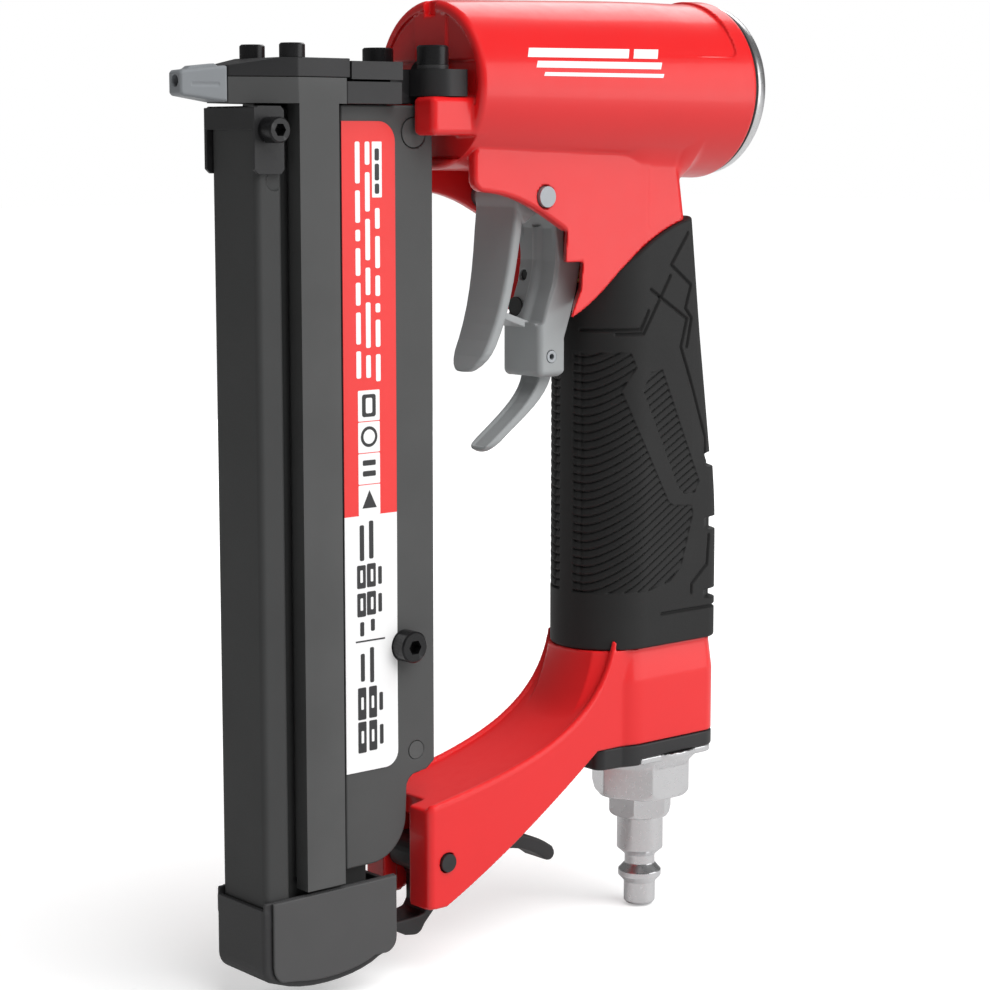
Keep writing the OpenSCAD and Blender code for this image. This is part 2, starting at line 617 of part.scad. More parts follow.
module valve_body() color(brass) {
    turned_x([[2, 34.2], [6, 34.2], [6, 42.5], [5, 42.5], [5, 45], [6, 45], [6, 60], [1, 60],
              [1, 59], [4, 59], [4, 51], [2, 51]], valve_z);
}
module valve_seal() color(rubber) ring_x(42.6, 44.9, 5.05, 6, valve_z);
module valve_stem() color(steel) {
    rod_x(24.7, 50, 2 - running_gap, valve_z);
}
module valve_spring() color(steel) translate([0, 0, valve_z]) coil_x(52.9, 58.9, 3, 0.4, 5);

module grip_sleeve() color(rubber) difference() {
    intersection() {
        handle_form(0);
        grip_region();
    }
    handle_form(grip_wall);
    rod_x(33, 40, 6 + body_gap, valve_z);
}

module base_section() {
    translate([bracket_front_cx, 0]) circle(r = grip_half_w - 0.3, $fn = bore_fn);
    rear_section(bracket_front_cx, 71.2, 0.3);
}
module inlet_bracket() color(black) difference() {
    union() {
        translate([0, 0, 41.5]) linear_extrude(base_bottom_z - 0.05 - 41.5) base_section();
        // thicker lip at the front
        translate([0, 0, 40]) linear_extrude(2) intersection() {
            base_section();
            translate([20, -20]) square([24.5, 40]);
        }
    }
    rod_z(plug_x, 0, 30, 50, 8.6);
}
module inlet_fitting() color(steel) difference() {
    union() {
        translate([plug_x, 0, 28.9]) cylinder(h = 8.5, r = inlet_nut_af / sqrt(3), $fn = 6);
        translate([plug_x, 0, 37.3]) cylinder(h = 2.6, r1 = 12.4, r2 = 14.6, $fn = bore_fn);
        // flat part of the flange, behind the bracket's lip
        translate([0, 0, 39.8]) linear_extrude(1.65) intersection() {
            rear_section(40, 71, 0.6);
            translate([44.6, -20]) square([40, 40]);
        }
        rod_z(plug_x, 0, 30, 59, 8.5, bore_fn);
    }
    rod_z(plug_x, 0, 20, 70, 5, bore_fn);
    translate([plug_x, 0, 52]) rotate_extrude($fn = bore_fn) translate([7.2, 0]) square([3, 2.2]);
}
module inlet_seal() color(rubber)
    translate([plug_x, 0, 52.05]) rotate_extrude($fn = bore_fn) translate([7.25, 0]) square([1.25, 2.1]);
module air_plug() color(steel) difference() {
    union() {
        translate([plug_x, 0, 0]) rotate_extrude($fn = bore_fn)
            polygon([[0, 0], [3.4, 0], [3.95, 0.6], [3.95, 5.6], [5.4, 7.2], [5.4, 8.6], [3.8, 10.4],
                     [3.8, 12.6], [plug_shank_r, 14.4], [plug_shank_r, 23.2], [0, 23.2]]);
        translate([plug_x, 0, 23.1]) rotate([0, 0, 35]) cylinder(h = 5.7, r = 14.2 / sqrt(3), $fn = 6);
        rod_z(plug_x, 0, 28, 40, 4.9, bore_fn);
    }
    rod_z(plug_x, 0, -5, 60, 2.6, bore_fn);
}

latch_outline = concat(arc(latch_x, latch_z, 4.6, 60, 215, 10),
    [[-15.9, 22], [-15.2, 20.4], [-15.2, 14.6], [-16.2, 13], [-17.8, 12.6], [-26.2, 12.4], [-26.3, 11.4]],
    [[-24.4, 10.1], [-21.3, 8.4]], arc(-18.6, 10.6, 2.6, -105, -45, 4),
    curve([-15.8, 10.2], [-9.5, 15.6], [-7.4, 22.6], [2, 23.6], 6),
    curve([2, 23.6], [12, 24], [17, 22], [22.4, 17.9], 6),
    [[24.2, 18.6], [24.4, 21.4]], curve([23.5, 22], [17, 26.5], [10, 27.2], [0, 28.8], 6));
module latch_lever() color(black) difference() {
    plate(latch_outline, -latch_half_w, latch_half_w);
    rod_y(latch_x, latch_z, -30, 30, latch_pin_r + running_gap);
}
module latch_pin() color(dark_steel) rod_y(latch_x, latch_z, -12.8, 12.8, latch_pin_r);
module latch_spring() color(steel) translate([-11, 0, 0]) coil_z(31, 35.3, 1.8, 0.35, 4);

housing();
rear_cap();
cap_gasket();
cylinder_sleeve();
sleeve_seals();
bumper();
piston();
piston_seal();
driver_blade();
head_valve();
head_valve_seal();
head_valve_spring();
nose_flange();
guide_block();
driver_guide();
nose_cover();
nose_cover_screws();
nose_flange_screws();
flange_washers();
no_mar_tip();
fixed_magazine();
side_plates();
label();
side_screw();
plate_rivets();
sliding_magazine();
stop_bracket();
bracket_screw();
foot_cap();
foot_panels();
pusher();
pusher_spring();
spring_rod();
trigger();
trigger_pin();
safety_lever();
safety_pin();
safety_spring();
valve_body();
valve_seal();
valve_stem();
valve_spring();
grip_sleeve();
inlet_bracket();
inlet_fitting();
inlet_seal();
air_plug();
latch_lever();
latch_pin();
latch_spring();
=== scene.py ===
"""Looks of the pneumatic pin nailer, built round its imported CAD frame.

Lengths are in millimetres up to the point where a mesh is made, in the frame's own axes:
X along the barrel with the nose towards -X, Z up, and the label side towards -Y.
"""

import json
import math

import bmesh
import bpy
import numpy as np
from mathutils import Matrix, Vector


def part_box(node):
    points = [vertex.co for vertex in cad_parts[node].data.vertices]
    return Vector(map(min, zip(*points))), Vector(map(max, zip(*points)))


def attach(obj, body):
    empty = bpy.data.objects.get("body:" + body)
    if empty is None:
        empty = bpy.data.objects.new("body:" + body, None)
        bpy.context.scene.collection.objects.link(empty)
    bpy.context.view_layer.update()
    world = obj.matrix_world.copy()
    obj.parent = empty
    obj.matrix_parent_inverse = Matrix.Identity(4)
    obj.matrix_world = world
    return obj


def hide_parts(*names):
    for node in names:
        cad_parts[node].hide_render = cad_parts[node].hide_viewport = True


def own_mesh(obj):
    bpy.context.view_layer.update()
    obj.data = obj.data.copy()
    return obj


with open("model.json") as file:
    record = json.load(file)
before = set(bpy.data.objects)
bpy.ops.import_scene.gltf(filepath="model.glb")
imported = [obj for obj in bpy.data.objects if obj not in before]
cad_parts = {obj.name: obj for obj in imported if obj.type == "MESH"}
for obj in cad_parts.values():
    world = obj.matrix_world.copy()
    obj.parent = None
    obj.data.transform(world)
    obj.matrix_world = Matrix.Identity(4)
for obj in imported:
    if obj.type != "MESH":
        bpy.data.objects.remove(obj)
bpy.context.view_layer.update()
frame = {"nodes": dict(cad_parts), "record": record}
BODY_OF = {node: body for body, nodes in frame["record"]["behaviour"]["bodies"].items() for node in nodes}
SLOT_OF = {part["node"]: part["material_slot"] for part in frame["record"]["subparts"]}
MM = 0.001
FAR = 300.0  # past the end of the tool
OUTSIDE = 9.0  # a distance that is well outside any surface
SHARP = 32  # degrees above which an edge is bevelled
SMOOTH = 40  # degrees below which faces are shaded as one

# axes and sizes that more than one piece shares
AXIS_Z = 203.2  # height of the barrel's axis
TRIGGER_PIVOT = (13.2, 178.2)
SAFETY_PIVOT = (20.6, 140.8)
LATCH_PIVOT = (-15.6, 26.6)
VALVE_Z = 160
VALVE_RADIUS = 6.05
PLUG_X = 57
GRIP_BOTTOM = 69.0
BASE_BOTTOM = 45.2
PLATE_X = (-41, -15.6)
PLATE_TOP = 198.55
SLIDE_Z = (12.2, 198.1)

# ---------------------------------------------------------------- distance fields


def slab(v, low, high):
    """Distance to the interval from low to high."""
    return np.abs(v - (low + high) / 2) - (high - low) / 2


def meet(a, b, r=0.0):
    """Where both fields are inside, with the shared edge rounded to radius r."""
    if np.isscalar(r) and r <= 0:
        return np.maximum(a, b)
    corner = np.hypot(np.maximum(a + r, 0), np.maximum(b + r, 0))
    return np.minimum(np.maximum(a, b), -r) + corner


def join(a, b, r=0.0):
    """Where either field is inside, with a fillet of radius r in the corner."""
    return -meet(-a, -b, r)


def cut(a, b, r=0.0):
    """Field a without field b."""
    return meet(a, -b, r)


def brick(x, y, z, xs, ys, zs, r=0.0):
    """Distance to a box. r rounds its upright edges."""
    return meet(meet(slab(x, *xs), slab(y, *ys), r), slab(z, *zs), r)


def rod(u, v, centre, radius):
    """Distance to a round bar, end on."""
    return np.hypot(u - centre[0], v - centre[1]) - radius


def only(near, field, *coords, rest=OUTSIDE):
    """The field where near is true, and rest elsewhere."""
    out = np.full(near.shape, rest)
    out[near] = field(*(np.broadcast_to(c, near.shape)[near] for c in coords))
    return out


def outline(points):
    """Signed distance in a plane to a closed outline."""
    ends = list(zip(points, points[1:] + points[:1]))

    def distance(u, v):
        u, v = np.broadcast_arrays(u, v)
        best = np.full(u.shape, 1e9)
        inside = np.zeros(u.shape, bool)
        for (ax, ay), (bx, by) in ends:
            ex, ey, wu, wv = bx - ax, by - ay, u - ax, v - ay
            t = np.clip((wu * ex + wv * ey) / (ex * ex + ey * ey + 1e-12), 0, 1)
            best = np.minimum(best, (wu - t * ex) ** 2 + (wv - t * ey) ** 2)
            if ay != by:
                inside ^= ((ay <= v) != (by <= v)) & (wu < ex * wv / ey)
        return np.where(inside, -1, 1) * np.sqrt(best)

    return distance


def near_line(u, v, points):
    """Distance in a plane to an open line through the points."""
    best = 1e9
    for (ax, ay), (bx, by) in zip(points, points[1:]):
        ex, ey, wu, wv = bx - ax, by - ay, u - ax, v - ay
        t = np.clip((wu * ex + wv * ey) / (ex * ex + ey * ey), 0, 1)
        best = np.minimum(best, np.hypot(wu - t * ex, wv - t * ey))
    return best


def arc(cx, cz, r, a0, a1, n=8):
    """Points of an arc, angles in degrees."""
    turn = [math.radians(a0 + (a1 - a0) * i / n) for i in range(n + 1)]
    return [(cx + r * math.cos(a), cz + r * math.sin(a)) for a in turn]


def curve(a, b, c, d, n=10):
    """Points of a cubic curve from a to d."""
    steps = [(i / n, 1 - i / n) for i in range(n + 1)]
    return [
        tuple(u**3 * a[k] + 3 * u * u * t * b[k] + 3 * u * t * t * c[k] + t**3 * d[k] for k in (0, 1))
        for t, u in steps
    ]


# ---------------------------------------------------------------- fields to meshes

CORNERS = np.array([(i, j, k) for i in (0, 1) for j in (0, 1) for k in (0, 1)])


def surface_net(d, start, step):
    """Points and quads of the zero surface of a sampled field."""
    inside = d < 0
    nx, ny, nz = np.array(d.shape) - 1
    count = sum(inside[i : i + nx, j : j + ny, k : k + nz].astype(np.int8) for i, j, k in CORNERS)
    cells = np.argwhere((count > 0) & (count < 8))
    values = [d[tuple((cells + c).T)] for c in CORNERS]
    total, hits = np.zeros((len(cells), 3)), np.zeros(len(cells))
    for a in range(8):
        for b in range(a + 1, 8):
            if np.abs(CORNERS[a] - CORNERS[b]).sum() != 1:
                continue
            crossed = (values[a] < 0) != (values[b] < 0)
            t = np.where(crossed, values[a] / np.where(crossed, values[a] - values[b], 1), 0)
            total += crossed[:, None] * (CORNERS[a] + t[:, None] * (CORNERS[b] - CORNERS[a]))
            hits += crossed
    points = start + (cells + total / hits[:, None]) * step
    index = np.full(d.shape, -1)
    index[tuple(cells.T)] = np.arange(len(cells))
    quads = []
    for axis in range(3):
        unit = np.eye(3, dtype=int)
        u, v = unit[(axis + 1) % 3], unit[(axis + 2) % 3]
        low = inside.take(range(d.shape[axis] - 1), axis)
        high = inside.take(range(1, d.shape[axis]), axis)
        at = np.argwhere(low != high)
        at = at[(at @ u >= 1) & (at @ v >= 1)]
        ring = [index[tuple(g.T)] for g in (at - u - v, at - v, at, at - u)]
        ring = np.stack(ring, 1)
        leaving = low[tuple(at.T)]
        quads.append(np.where(leaving[:, None], ring, ring[:, ::-1]))
    quads = np.concatenate(quads)
    return points, quads[(quads >= 0).all(1)]


def slope_of(field, p, h):
    """Gradient of the field at the points."""
    g = []
    for k in range(3):
        step = np.zeros(3)
        step[k] = h
        g.append((field(*(p + step).T) - field(*(p - step).T)) / (2 * h))
    return np.stack(g, 1)


def mesh_from(name, points, quads, normals):
    """A smooth mesh in metres from points in millimetres."""
    mesh = bpy.data.meshes.new(name)
    mesh.vertices.add(len(points))
    mesh.vertices.foreach_set("co", (np.asarray(points) * MM).astype(np.float32).ravel())
    mesh.loops.add(quads.size)
    mesh.loops.foreach_set("vertex_index", quads.astype(np.int32).ravel())
    mesh.polygons.add(len(quads))
    mesh.polygons.foreach_set("loop_start", np.arange(0, quads.size, 4, dtype=np.int32))
    mesh.update(calc_edges=True)
    mesh.validate()
    mesh.polygons.foreach_set("use_smooth", np.ones(len(mesh.polygons), bool))
    mesh.normals_split_custom_set_from_vertices(normals)
    return mesh


def closed_mesh(name, points, faces):
    """A mesh in metres from points in millimetres, with its faces turned outwards."""
    mesh = bpy.data.meshes.new(name)
    mesh.from_pydata([tuple(c * MM for c in point) for point in points], [], faces)
    bm = bmesh.new()
    bm.from_mesh(mesh)
    bmesh.ops.recalc_face_normals(bm, faces=bm.faces)
    bm.to_mesh(mesh)
    bm.free()
    return mesh


def place(mesh, name, nodes, finish, body=None):
    """A new piece that stands for CAD nodes and rides on their body."""
    o = bpy.data.objects.new(name, mesh)
    bpy.context.scene.collection.objects.link(o)
    mesh.materials.clear()
    mesh.materials.append(finish)
    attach(o, body or BODY_OF[nodes[0]])
    if nodes:
        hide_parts(*nodes)
    return o


def skin(field, low, high, step, finish):
    """Meshes the field named after a CAD node, pulls each point onto its surface and takes the field's normals."""
    node = field.__name__
    axes = [np.arange(a - step, b + 2 * step, step) for a, b in zip(low, high)]
    x, y, z = np.meshgrid(*axes, indexing="ij", sparse=True)
    d = np.broadcast_to(field(x, y, z), [len(a) for a in axes])
    points, quads = surface_net(d, np.array([a[0] for a in axes]), step)
    for _ in range(2):
        g = slope_of(field, points, 0.05)
        size = np.maximum((g**2).sum(1), 0.25)
        move = -(field(*points.T) / size)[:, None] * g
        points = points + np.clip(move, -step / 2, step / 2)
    g = slope_of(field, points, step * 0.4)
    g /= np.maximum(np.linalg.norm(g, axis=1), 1e-6)[:, None]
    place(mesh_from(node, points, quads, g), node + "_skin", [node], finish)


def even_normals(mesh, angle):
    """Smooth shading inside an angle, in which large flat faces outweigh the narrow ones beside them."""
    count = len(mesh.polygons)
    normal = np.empty(count * 3)
    area = np.empty(count)
    mesh.polygons.foreach_get("normal", normal)
    mesh.polygons.foreach_get("area", area)
    normal = normal.reshape(-1, 3)
    around = [[] for _ in mesh.vertices]
    for face in mesh.polygons:
        for v in face.vertices:
            around[v].append(face.index)
    limit = math.cos(math.radians(angle))
    corners = []
    for face in mesh.polygons:
        own = normal[face.index]
        for v in face.vertices:
            near = around[v]
            pick = normal[near]
            weight = area[near] * (pick @ own > limit)
            total = weight @ pick
            length = float(np.linalg.norm(total))
            corners.append(tuple(total / length) if length > 1e-20 else tuple(own))
    mesh.polygons.foreach_set("use_smooth", [True] * count)
    mesh.normals_split_custom_set(corners)
    mesh.update()


def soften(node, finish, width):
    """A copy of a CAD node with its sharp edges rounded over."""
    mesh = frame["nodes"][node].data.copy()
    mesh.name = node + "_soft"
    bm = bmesh.new()
    bm.from_mesh(mesh)
    bmesh.ops.remove_doubles(bm, verts=bm.verts, dist=0.002 * MM)
    bm.to_mesh(mesh)
    bm.free()
    o = place(mesh, node + "_soft", [node], finish)
    bevel = o.modifiers.new("edges", "BEVEL")
    bevel.width = width * MM
    bevel.segments = 2
    bevel.limit_method = "ANGLE"
    bevel.angle_limit = math.radians(SHARP)
    bevel.harden_normals = True
    bevel.use_clamp_overlap = True
    bevel.miter_outer = "MITER_ARC"
    bpy.context.view_layer.update()
    evaluated = o.evaluated_get(bpy.context.evaluated_depsgraph_get())
    o.data = bpy.data.meshes.new_from_object(evaluated)
    o.modifiers.clear()
    even_normals(o.data, SMOOTH)


# ---------------------------------------------------------------- materials


def material(name, colour, rough, metal=0.0, coat=0.0, grain=0.0, scale=1.0, mottle=0.06, edge_highlight=0.0,
             streak=None, specular=0.5):
    """A finish whose colour, roughness and bump vary.

    scale is the size of its grain in mm, mottle how far its colour drifts, edge_highlight how much lighter
    its edges are painted as a highlight, and streak the stretch of the grain along each axis.
    """
    finish = bpy.data.materials.new(name)
    finish.use_nodes = True
    nt = finish.node_tree
    shader = nt.nodes["Principled BSDF"]
    shader.inputs["Metallic"].default_value = metal
    shader.inputs["Coat Weight"].default_value = coat
    shader.inputs["Coat Roughness"].default_value = 0.1
    shader.inputs["Specular IOR Level"].default_value = specular

    def add(kind, **inputs):
        node = nt.nodes.new(kind)
        for key, value in inputs.items():
            node.inputs[key].default_value = value
        return node

    where = where_fine = add("ShaderNodeTexCoord").outputs["Object"]
    if streak:
        stretch = add("ShaderNodeMapping", Scale=streak)
        nt.links.new(where, stretch.inputs["Vector"])
        where_fine = stretch.outputs["Vector"]
    broad = add("ShaderNodeTexNoise", Scale=60.0, Detail=3.0)
    fine = add("ShaderNodeTexNoise", Scale=1000.0 / scale, Detail=4.0, Roughness=0.6)
    nt.links.new(where, broad.inputs["Vector"])
    nt.links.new(where_fine, fine.inputs["Vector"])

    shade = add("ShaderNodeValToRGB")
    shade.color_ramp.elements[0].position = 0.3
    shade.color_ramp.elements[1].position = 0.7
    shade.color_ramp.elements[0].color = (*[c * (1 - mottle) for c in colour], 1)
    shade.color_ramp.elements[1].color = (*[min(c * (1 + mottle), 1) for c in colour], 1)
    nt.links.new(broad.outputs["Fac"], shade.inputs["Fac"])
    out = shade.outputs["Color"]
    # painted highlight: edges found by pointiness are lightened, in patches given by the broad noise
    if edge_highlight:
        edge = add("ShaderNodeNewGeometry")
        ramp = add("ShaderNodeValToRGB")
        ramp.color_ramp.elements[0].position = 0.52
        ramp.color_ramp.elements[1].position = 0.62
        nt.links.new(edge.outputs["Pointiness"], ramp.inputs["Fac"])
        highlight_patches = add("ShaderNodeMath")
        highlight_patches.operation = "MULTIPLY"
        nt.links.new(ramp.outputs["Color"], highlight_patches.inputs[0])
        nt.links.new(broad.outputs["Fac"], highlight_patches.inputs[1])
        mix = nt.nodes.new("ShaderNodeMix")
        mix.data_type = "RGBA"
        highlit = [min(c * (1 + edge_highlight) + 0.02 * edge_highlight, 1) for c in colour]
        mix.inputs["B"].default_value = (*highlit, 1)
        nt.links.new(highlight_patches.outputs[0], mix.inputs["Factor"])
        nt.links.new(out, mix.inputs["A"])
        out = mix.outputs["Result"]
    nt.links.new(out, shader.inputs["Base Color"])

    gloss = add("ShaderNodeMapRange")
    gloss.inputs["From Min"].default_value = 0.25
    gloss.inputs["From Max"].default_value = 0.75
    gloss.inputs["To Min"].default_value = max(rough - 0.05, 0.02)
    gloss.inputs["To Max"].default_value = rough + 0.05
    nt.links.new(fine.outputs["Fac"], gloss.inputs["Value"])
    nt.links.new(gloss.outputs["Result"], shader.inputs["Roughness"])
    if grain:
        bump = add("ShaderNodeBump", Strength=grain, Distance=0.1 * MM * scale)
        nt.links.new(fine.outputs["Fac"], bump.inputs["Height"])
        nt.links.new(bump.outputs["Normal"], shader.inputs["Normal"])
    return finish


RED = material("red_paint", (0.78, 0.013, 0.015), 0.34, coat=0.3, grain=0.012, scale=3.0, mottle=0.015, edge_highlight=0.1)
COATED = {"grain": 0.1, "scale": 0.35, "mottle": 0.05}
STEEL = material("dark_steel", (0.068, 0.069, 0.069), 0.5, edge_highlight=0.3, specular=0.4, **COATED)
SLIDE = material("slide_steel", (0.047, 0.048, 0.048), 0.5, edge_highlight=0.3, specular=0.3, **COATED)
NOSE = material("nose_steel", (0.022, 0.022, 0.023), 0.45, edge_highlight=0.5, specular=0.4, **COATED)
BLACK = material("black_steel", (0.02, 0.02, 0.021), 0.42, grain=0.08, scale=0.4, mottle=0.08, edge_highlight=0.8)
SCREW = material("screw_steel", (0.012, 0.012, 0.013), 0.3, metal=0.3, grain=0.05, scale=0.3, mottle=0.1, edge_highlight=1.5)
RUBBER = material("grip_rubber", (0.019, 0.019, 0.019), 0.6, grain=0.2, scale=0.3, mottle=0.08, specular=0.35)
SEAL = material("seal_rubber", (0.02, 0.02, 0.02), 0.6, grain=0.2, scale=0.4, mottle=0.1)
PLASTIC = material("grey_plastic", (0.335, 0.35, 0.355), 0.42, grain=0.06, scale=0.5, mottle=0.03, edge_highlight=0.1)
TIP = material("tip_plastic", (0.24, 0.255, 0.27), 0.45, grain=0.12, scale=0.5, mottle=0.04)
FOOT = material("black_plastic", (0.03, 0.03, 0.031), 0.45, grain=0.12, scale=0.5, mottle=0.05, edge_highlight=0.4)
PANEL = material("panel_plastic", (0.068, 0.068, 0.069), 0.5, grain=0.12, scale=0.5, mottle=0.05)
CHROME = material("chrome", (0.84, 0.84, 0.85), 0.3, metal=1.0, grain=0.02, scale=0.8, mottle=0.03)
BARE = {"metal": 1.0, "mottle": 0.05}
TURNED = material("turned_metal", (0.62, 0.63, 0.65), 0.25, grain=0.1, scale=0.6, streak=(8, 1, 1), **BARE)
GROUND = material("tool_steel", (0.42, 0.43, 0.45), 0.25, grain=0.08, scale=0.5, streak=(1, 1, 6), **BARE)
PINMETAL = material("grey_metal", (0.36, 0.38, 0.4), 0.35, metal=0.4, grain=0.05, scale=0.5, mottle=0.04)
WIRE = material("spring_steel", (0.45, 0.45, 0.47), 0.28, metal=1.0, grain=0.05, scale=0.4, mottle=0.08)
BRASS = material("brass", (0.72, 0.52, 0.22), 0.28, metal=1.0, grain=0.08, scale=0.6, mottle=0.06)
URETHANE = material("bumper_rubber", (0.06, 0.09, 0.3), 0.5, grain=0.1, scale=0.6, mottle=0.05)
LABEL_RED = material("label_red", (0.84, 0.035, 0.033), 0.4, grain=0.02, scale=0.8, mottle=0.02)
LABEL_WHITE = material("label_white", (0.92, 0.92, 0.92), 0.4, grain=0.02, scale=0.8, mottle=0.01)
INK = material("label_ink", (0.03, 0.03, 0.032), 0.45, grain=0.02, scale=0.8, mottle=0.03)

FINISH = {
    "red_paint": RED, "chrome": CHROME, "seal_rubber": SEAL, "bumper_rubber": URETHANE,
    "aluminium": TURNED, "tool_steel": GROUND, "spring_steel": WIRE, "brass": BRASS,
    "black_steel": BLACK, "dark_steel": STEEL, "grey_plastic": PLASTIC, "grey_metal": PINMETAL,
    "black_plastic": FOOT, "label_film": LABEL_RED, "grip_rubber": RUBBER,
}
for node, o in frame["nodes"].items():
    o.data.materials.clear()
    o.data.materials.append(FINISH[SLOT_OF[node]])

# ---------------------------------------------------------------- handle and barrel

BARREL_X = (-10.5, 73.9)
BORE_RADIUS = 17
FACE_RADIUS = 16.6  # inside the front rim
TOP_RADIUS = 20.55  # floor of the recess along the top
WALL_Y = (10.15, 13.15)  # trigger walls, from the middle plane
LINING_Y = 7.2  # inner face of their thicker lower part
WALL_SLANT = 0.77
ARM_FRONT = -21.2
ARM_Y = 12.15
LIP_Y = 10.9
GRIP_Y = 14.0  # half the handle's width, which is also the radius of its front
GRIP_CX = 45.2  # axis of that front
REAR_X = 71.3  # its rear edge low down
LEAN = math.radians(7.6)
NECK_LEAN = math.radians(10)

grip_edge = outline(
    [(25, GRIP_BOTTOM), (90, GRIP_BOTTOM), (90, 175.5)]
    + curve((64, 173.5), (51, 171.5), (44, 166), (36, 160), 12)
    + curve((36, 160), (32, 156.5), (26, 151.5), (19, 149.2), 8)[1:]
)
wall_shape = outline(
    arc(-4.4, 187.5, 3.5, 90, 180, 6)
    + arc(-4.9, 182.5, 3, 180, 265, 6)
    + curve((-4.5, 179.4), (4, 178.8), (9, 176.5), (19.6, 170.4), 8)
    + [(19.2, 163), (24.6, 163), (24, 156.5), (20, 148.4), (30, 146), (46, 146), (46, 191)]
)
arm_top = curve((-20.2, 40.6), (10, 45.5), (32.4, 51.5), (36.4, 71.4), 60)
arm_under = curve((31.3, BASE_BOTTOM), (16, 33.6), (-2, 22.5), (-15.7, 16.1), 40)
arm_rear = [(45, 71.4), (45, BASE_BOTTOM), (33, BASE_BOTTOM)] + arm_under
arm_shape = outline([(ARM_FRONT, 16.1), (ARM_FRONT, 39.6), (-20.6, 40.4)] + arm_top + arm_rear)
arm_floor = outline([(ARM_FRONT, 16.1), (ARM_FRONT, 39.4)] + [(x, z - 0.9) for x, z in arm_top] + arm_rear)
arm_slot = outline([(-17, 10), (-17, 35.5), (-9, 35.5), (16, 41), (24, 35), (10, 10)])


def barrel_radius(x):
    """The barrel is a shallow cone."""
    return 18.95 + 0.0293 * (x + 8.7)


def handle(x, y, z, inset):
    """Handle section: round front, flat sides, rounded rear that leans forward higher up."""
    front = np.where(x < GRIP_CX, np.hypot(x - GRIP_CX, y), np.abs(y)) - (GRIP_Y - inset)
    lean = (x - 70.25) * math.cos(LEAN) + (z - 112) * math.sin(LEAN) + inset
    rear = meet(x - REAR_X + inset, lean, 3)
    return meet(front, rear, 5 - 0.6 * np.minimum(inset, 2.5))


def housing(x, y, z):
    """The red casting: barrel, trigger walls, neck, core of the grip, base and the arm to the magazine."""
    side = np.abs(y)
    radial = np.hypot(y, z - AXIS_Z)
    barrel = meet(radial - barrel_radius(x), slab(x, *BARREL_X), 1.3)
    # face inside the front rim, with a middle rib, a ledge and a notch at the top
    barrel = cut(barrel, meet(radial - FACE_RADIUS, slab(x, -12, -9.7), 0.25), 0.25)
    barrel = join(barrel, brick(x, side, z, (-10.2, -9), (-6, 5.7), (186, 220)), 0.2)
    barrel = cut(barrel, brick(x, side, z, (-12, -9.3), (-1, 15.2), (187, 208.4), 0.2), 0.2)
    barrel = cut(barrel, brick(x, side, z, (-12, -8.6), (-1, 1.9), (218.6, 226), 0.3), 0.3)
    # recess along the top, ending in a step near the rear
    groove = meet(TOP_RADIUS - radial, meet(slab(x, 12, 68.4), 210.5 - z, 2.5), 0.3)
    barrel = cut(barrel, groove, 0.3)
    lugs = brick(x, side, z, (-21.8, -6), (8.1, 15.5), (192, 200.45), 1.4)
    barrel = join(barrel, lugs, 0.8)

    walls = meet(meet(wall_shape(x, z), slab(side, *WALL_Y), 0.9), 170.3 - z)
    # lower down the wall is thicker and its front edge slants inwards
    shape = (x + side + z).shape
    near = np.broadcast_to((z < 171.5) & (z > 143) & (x > 15) & (x < 50), shape)
    lining = only(near, lambda u, v, w: wall_shape(u - WALL_SLANT * (WALL_Y[1] - v), w), x, side, z)
    lining = meet(meet(lining, slab(side, LINING_Y, WALL_Y[1]), 0.25), z - 170.7)
    walls = join(walls, lining)
    neck = (x - 58.9) * math.cos(NECK_LEAN) + (z - 174) * math.sin(NECK_LEAN)
    upper = meet(handle(x, y, z, GRIP_Y - WALL_Y[1]), slab(z, 147, 192))
    upper = meet(upper, neck, 3)
    upper = join(upper, barrel, 2.4 + 6.6 * np.clip((x - 55) / 5, 0, 1))
    upper = join(upper, walls, 0.3)
    upper = join(upper, meet(walls, 188 - z))
    upper = cut(upper, grip_edge(x, z), 0.25)

    core = meet(handle(x, y, z, 2.2), slab(z, GRIP_BOTTOM - 1, 178))
    tuck = 0.35 + 0.75 * np.clip((z - 61) / 7, 0, 1)
    base = meet(handle(x, y, z, tuck), slab(z, BASE_BOTTOM, GRIP_BOTTOM + 4), 0.5)
    block = meet(side - ARM_Y, ARM_FRONT - x, 2)
    # the arm's hollow top runs up into the round front of the base, between two thin lips
    fillet = 0.3 + 7.5 * np.clip((10.6 - side) / 2.5, 0, 1) * np.clip((x + 5) / 20, 0, 1)
    lower = join(base, meet(block, arm_floor(x, z), 0.6), fillet)
    lower = meet(lower, z - GRIP_BOTTOM + 0.1)
    lips = meet(meet(block, arm_shape(x, z), 0.5), LIP_Y - side, 0.4)
    lips = cut(lips, meet(handle(x, y, z, 0) - 0.08, GRIP_BOTTOM - 0.2 - z))
    lower = join(lower, lips, 0.3)
    lower = cut(lower, brick(x, side, z, (-30, -16.6), (-8, 4.7), (0, 60), 0.4), 0.4)
    lower = cut(lower, meet(arm_slot(x, z), side - 5.2), 0.3)
    d = join(join(upper, lower), core)

    bore = meet(radial - BORE_RADIUS, slab(x, -2, FAR))
    inlet = meet(rod(x, y, (PLUG_X, 0), 8.55), slab(z, 40, 60))
    reservoir = meet(rod(x, y, (52, 0), 8.5), slab(z, 50, 166))
    passage = brick(x, side, z, (46, 58), (-4, 4), (165, 190))
    pocket = meet(rod(y, z, (0, VALVE_Z), VALVE_RADIUS), slab(x, 20, 60.2))
    pins = rod(x, z, TRIGGER_PIVOT, 2.6), rod(x, z, LATCH_PIVOT, 2.3)
    for hole in (bore, inlet, reservoir, passage, pocket, *pins):
        d = cut(d, hole, 0.15)
    return d


# ---------------------------------------------------------------- rubber grip

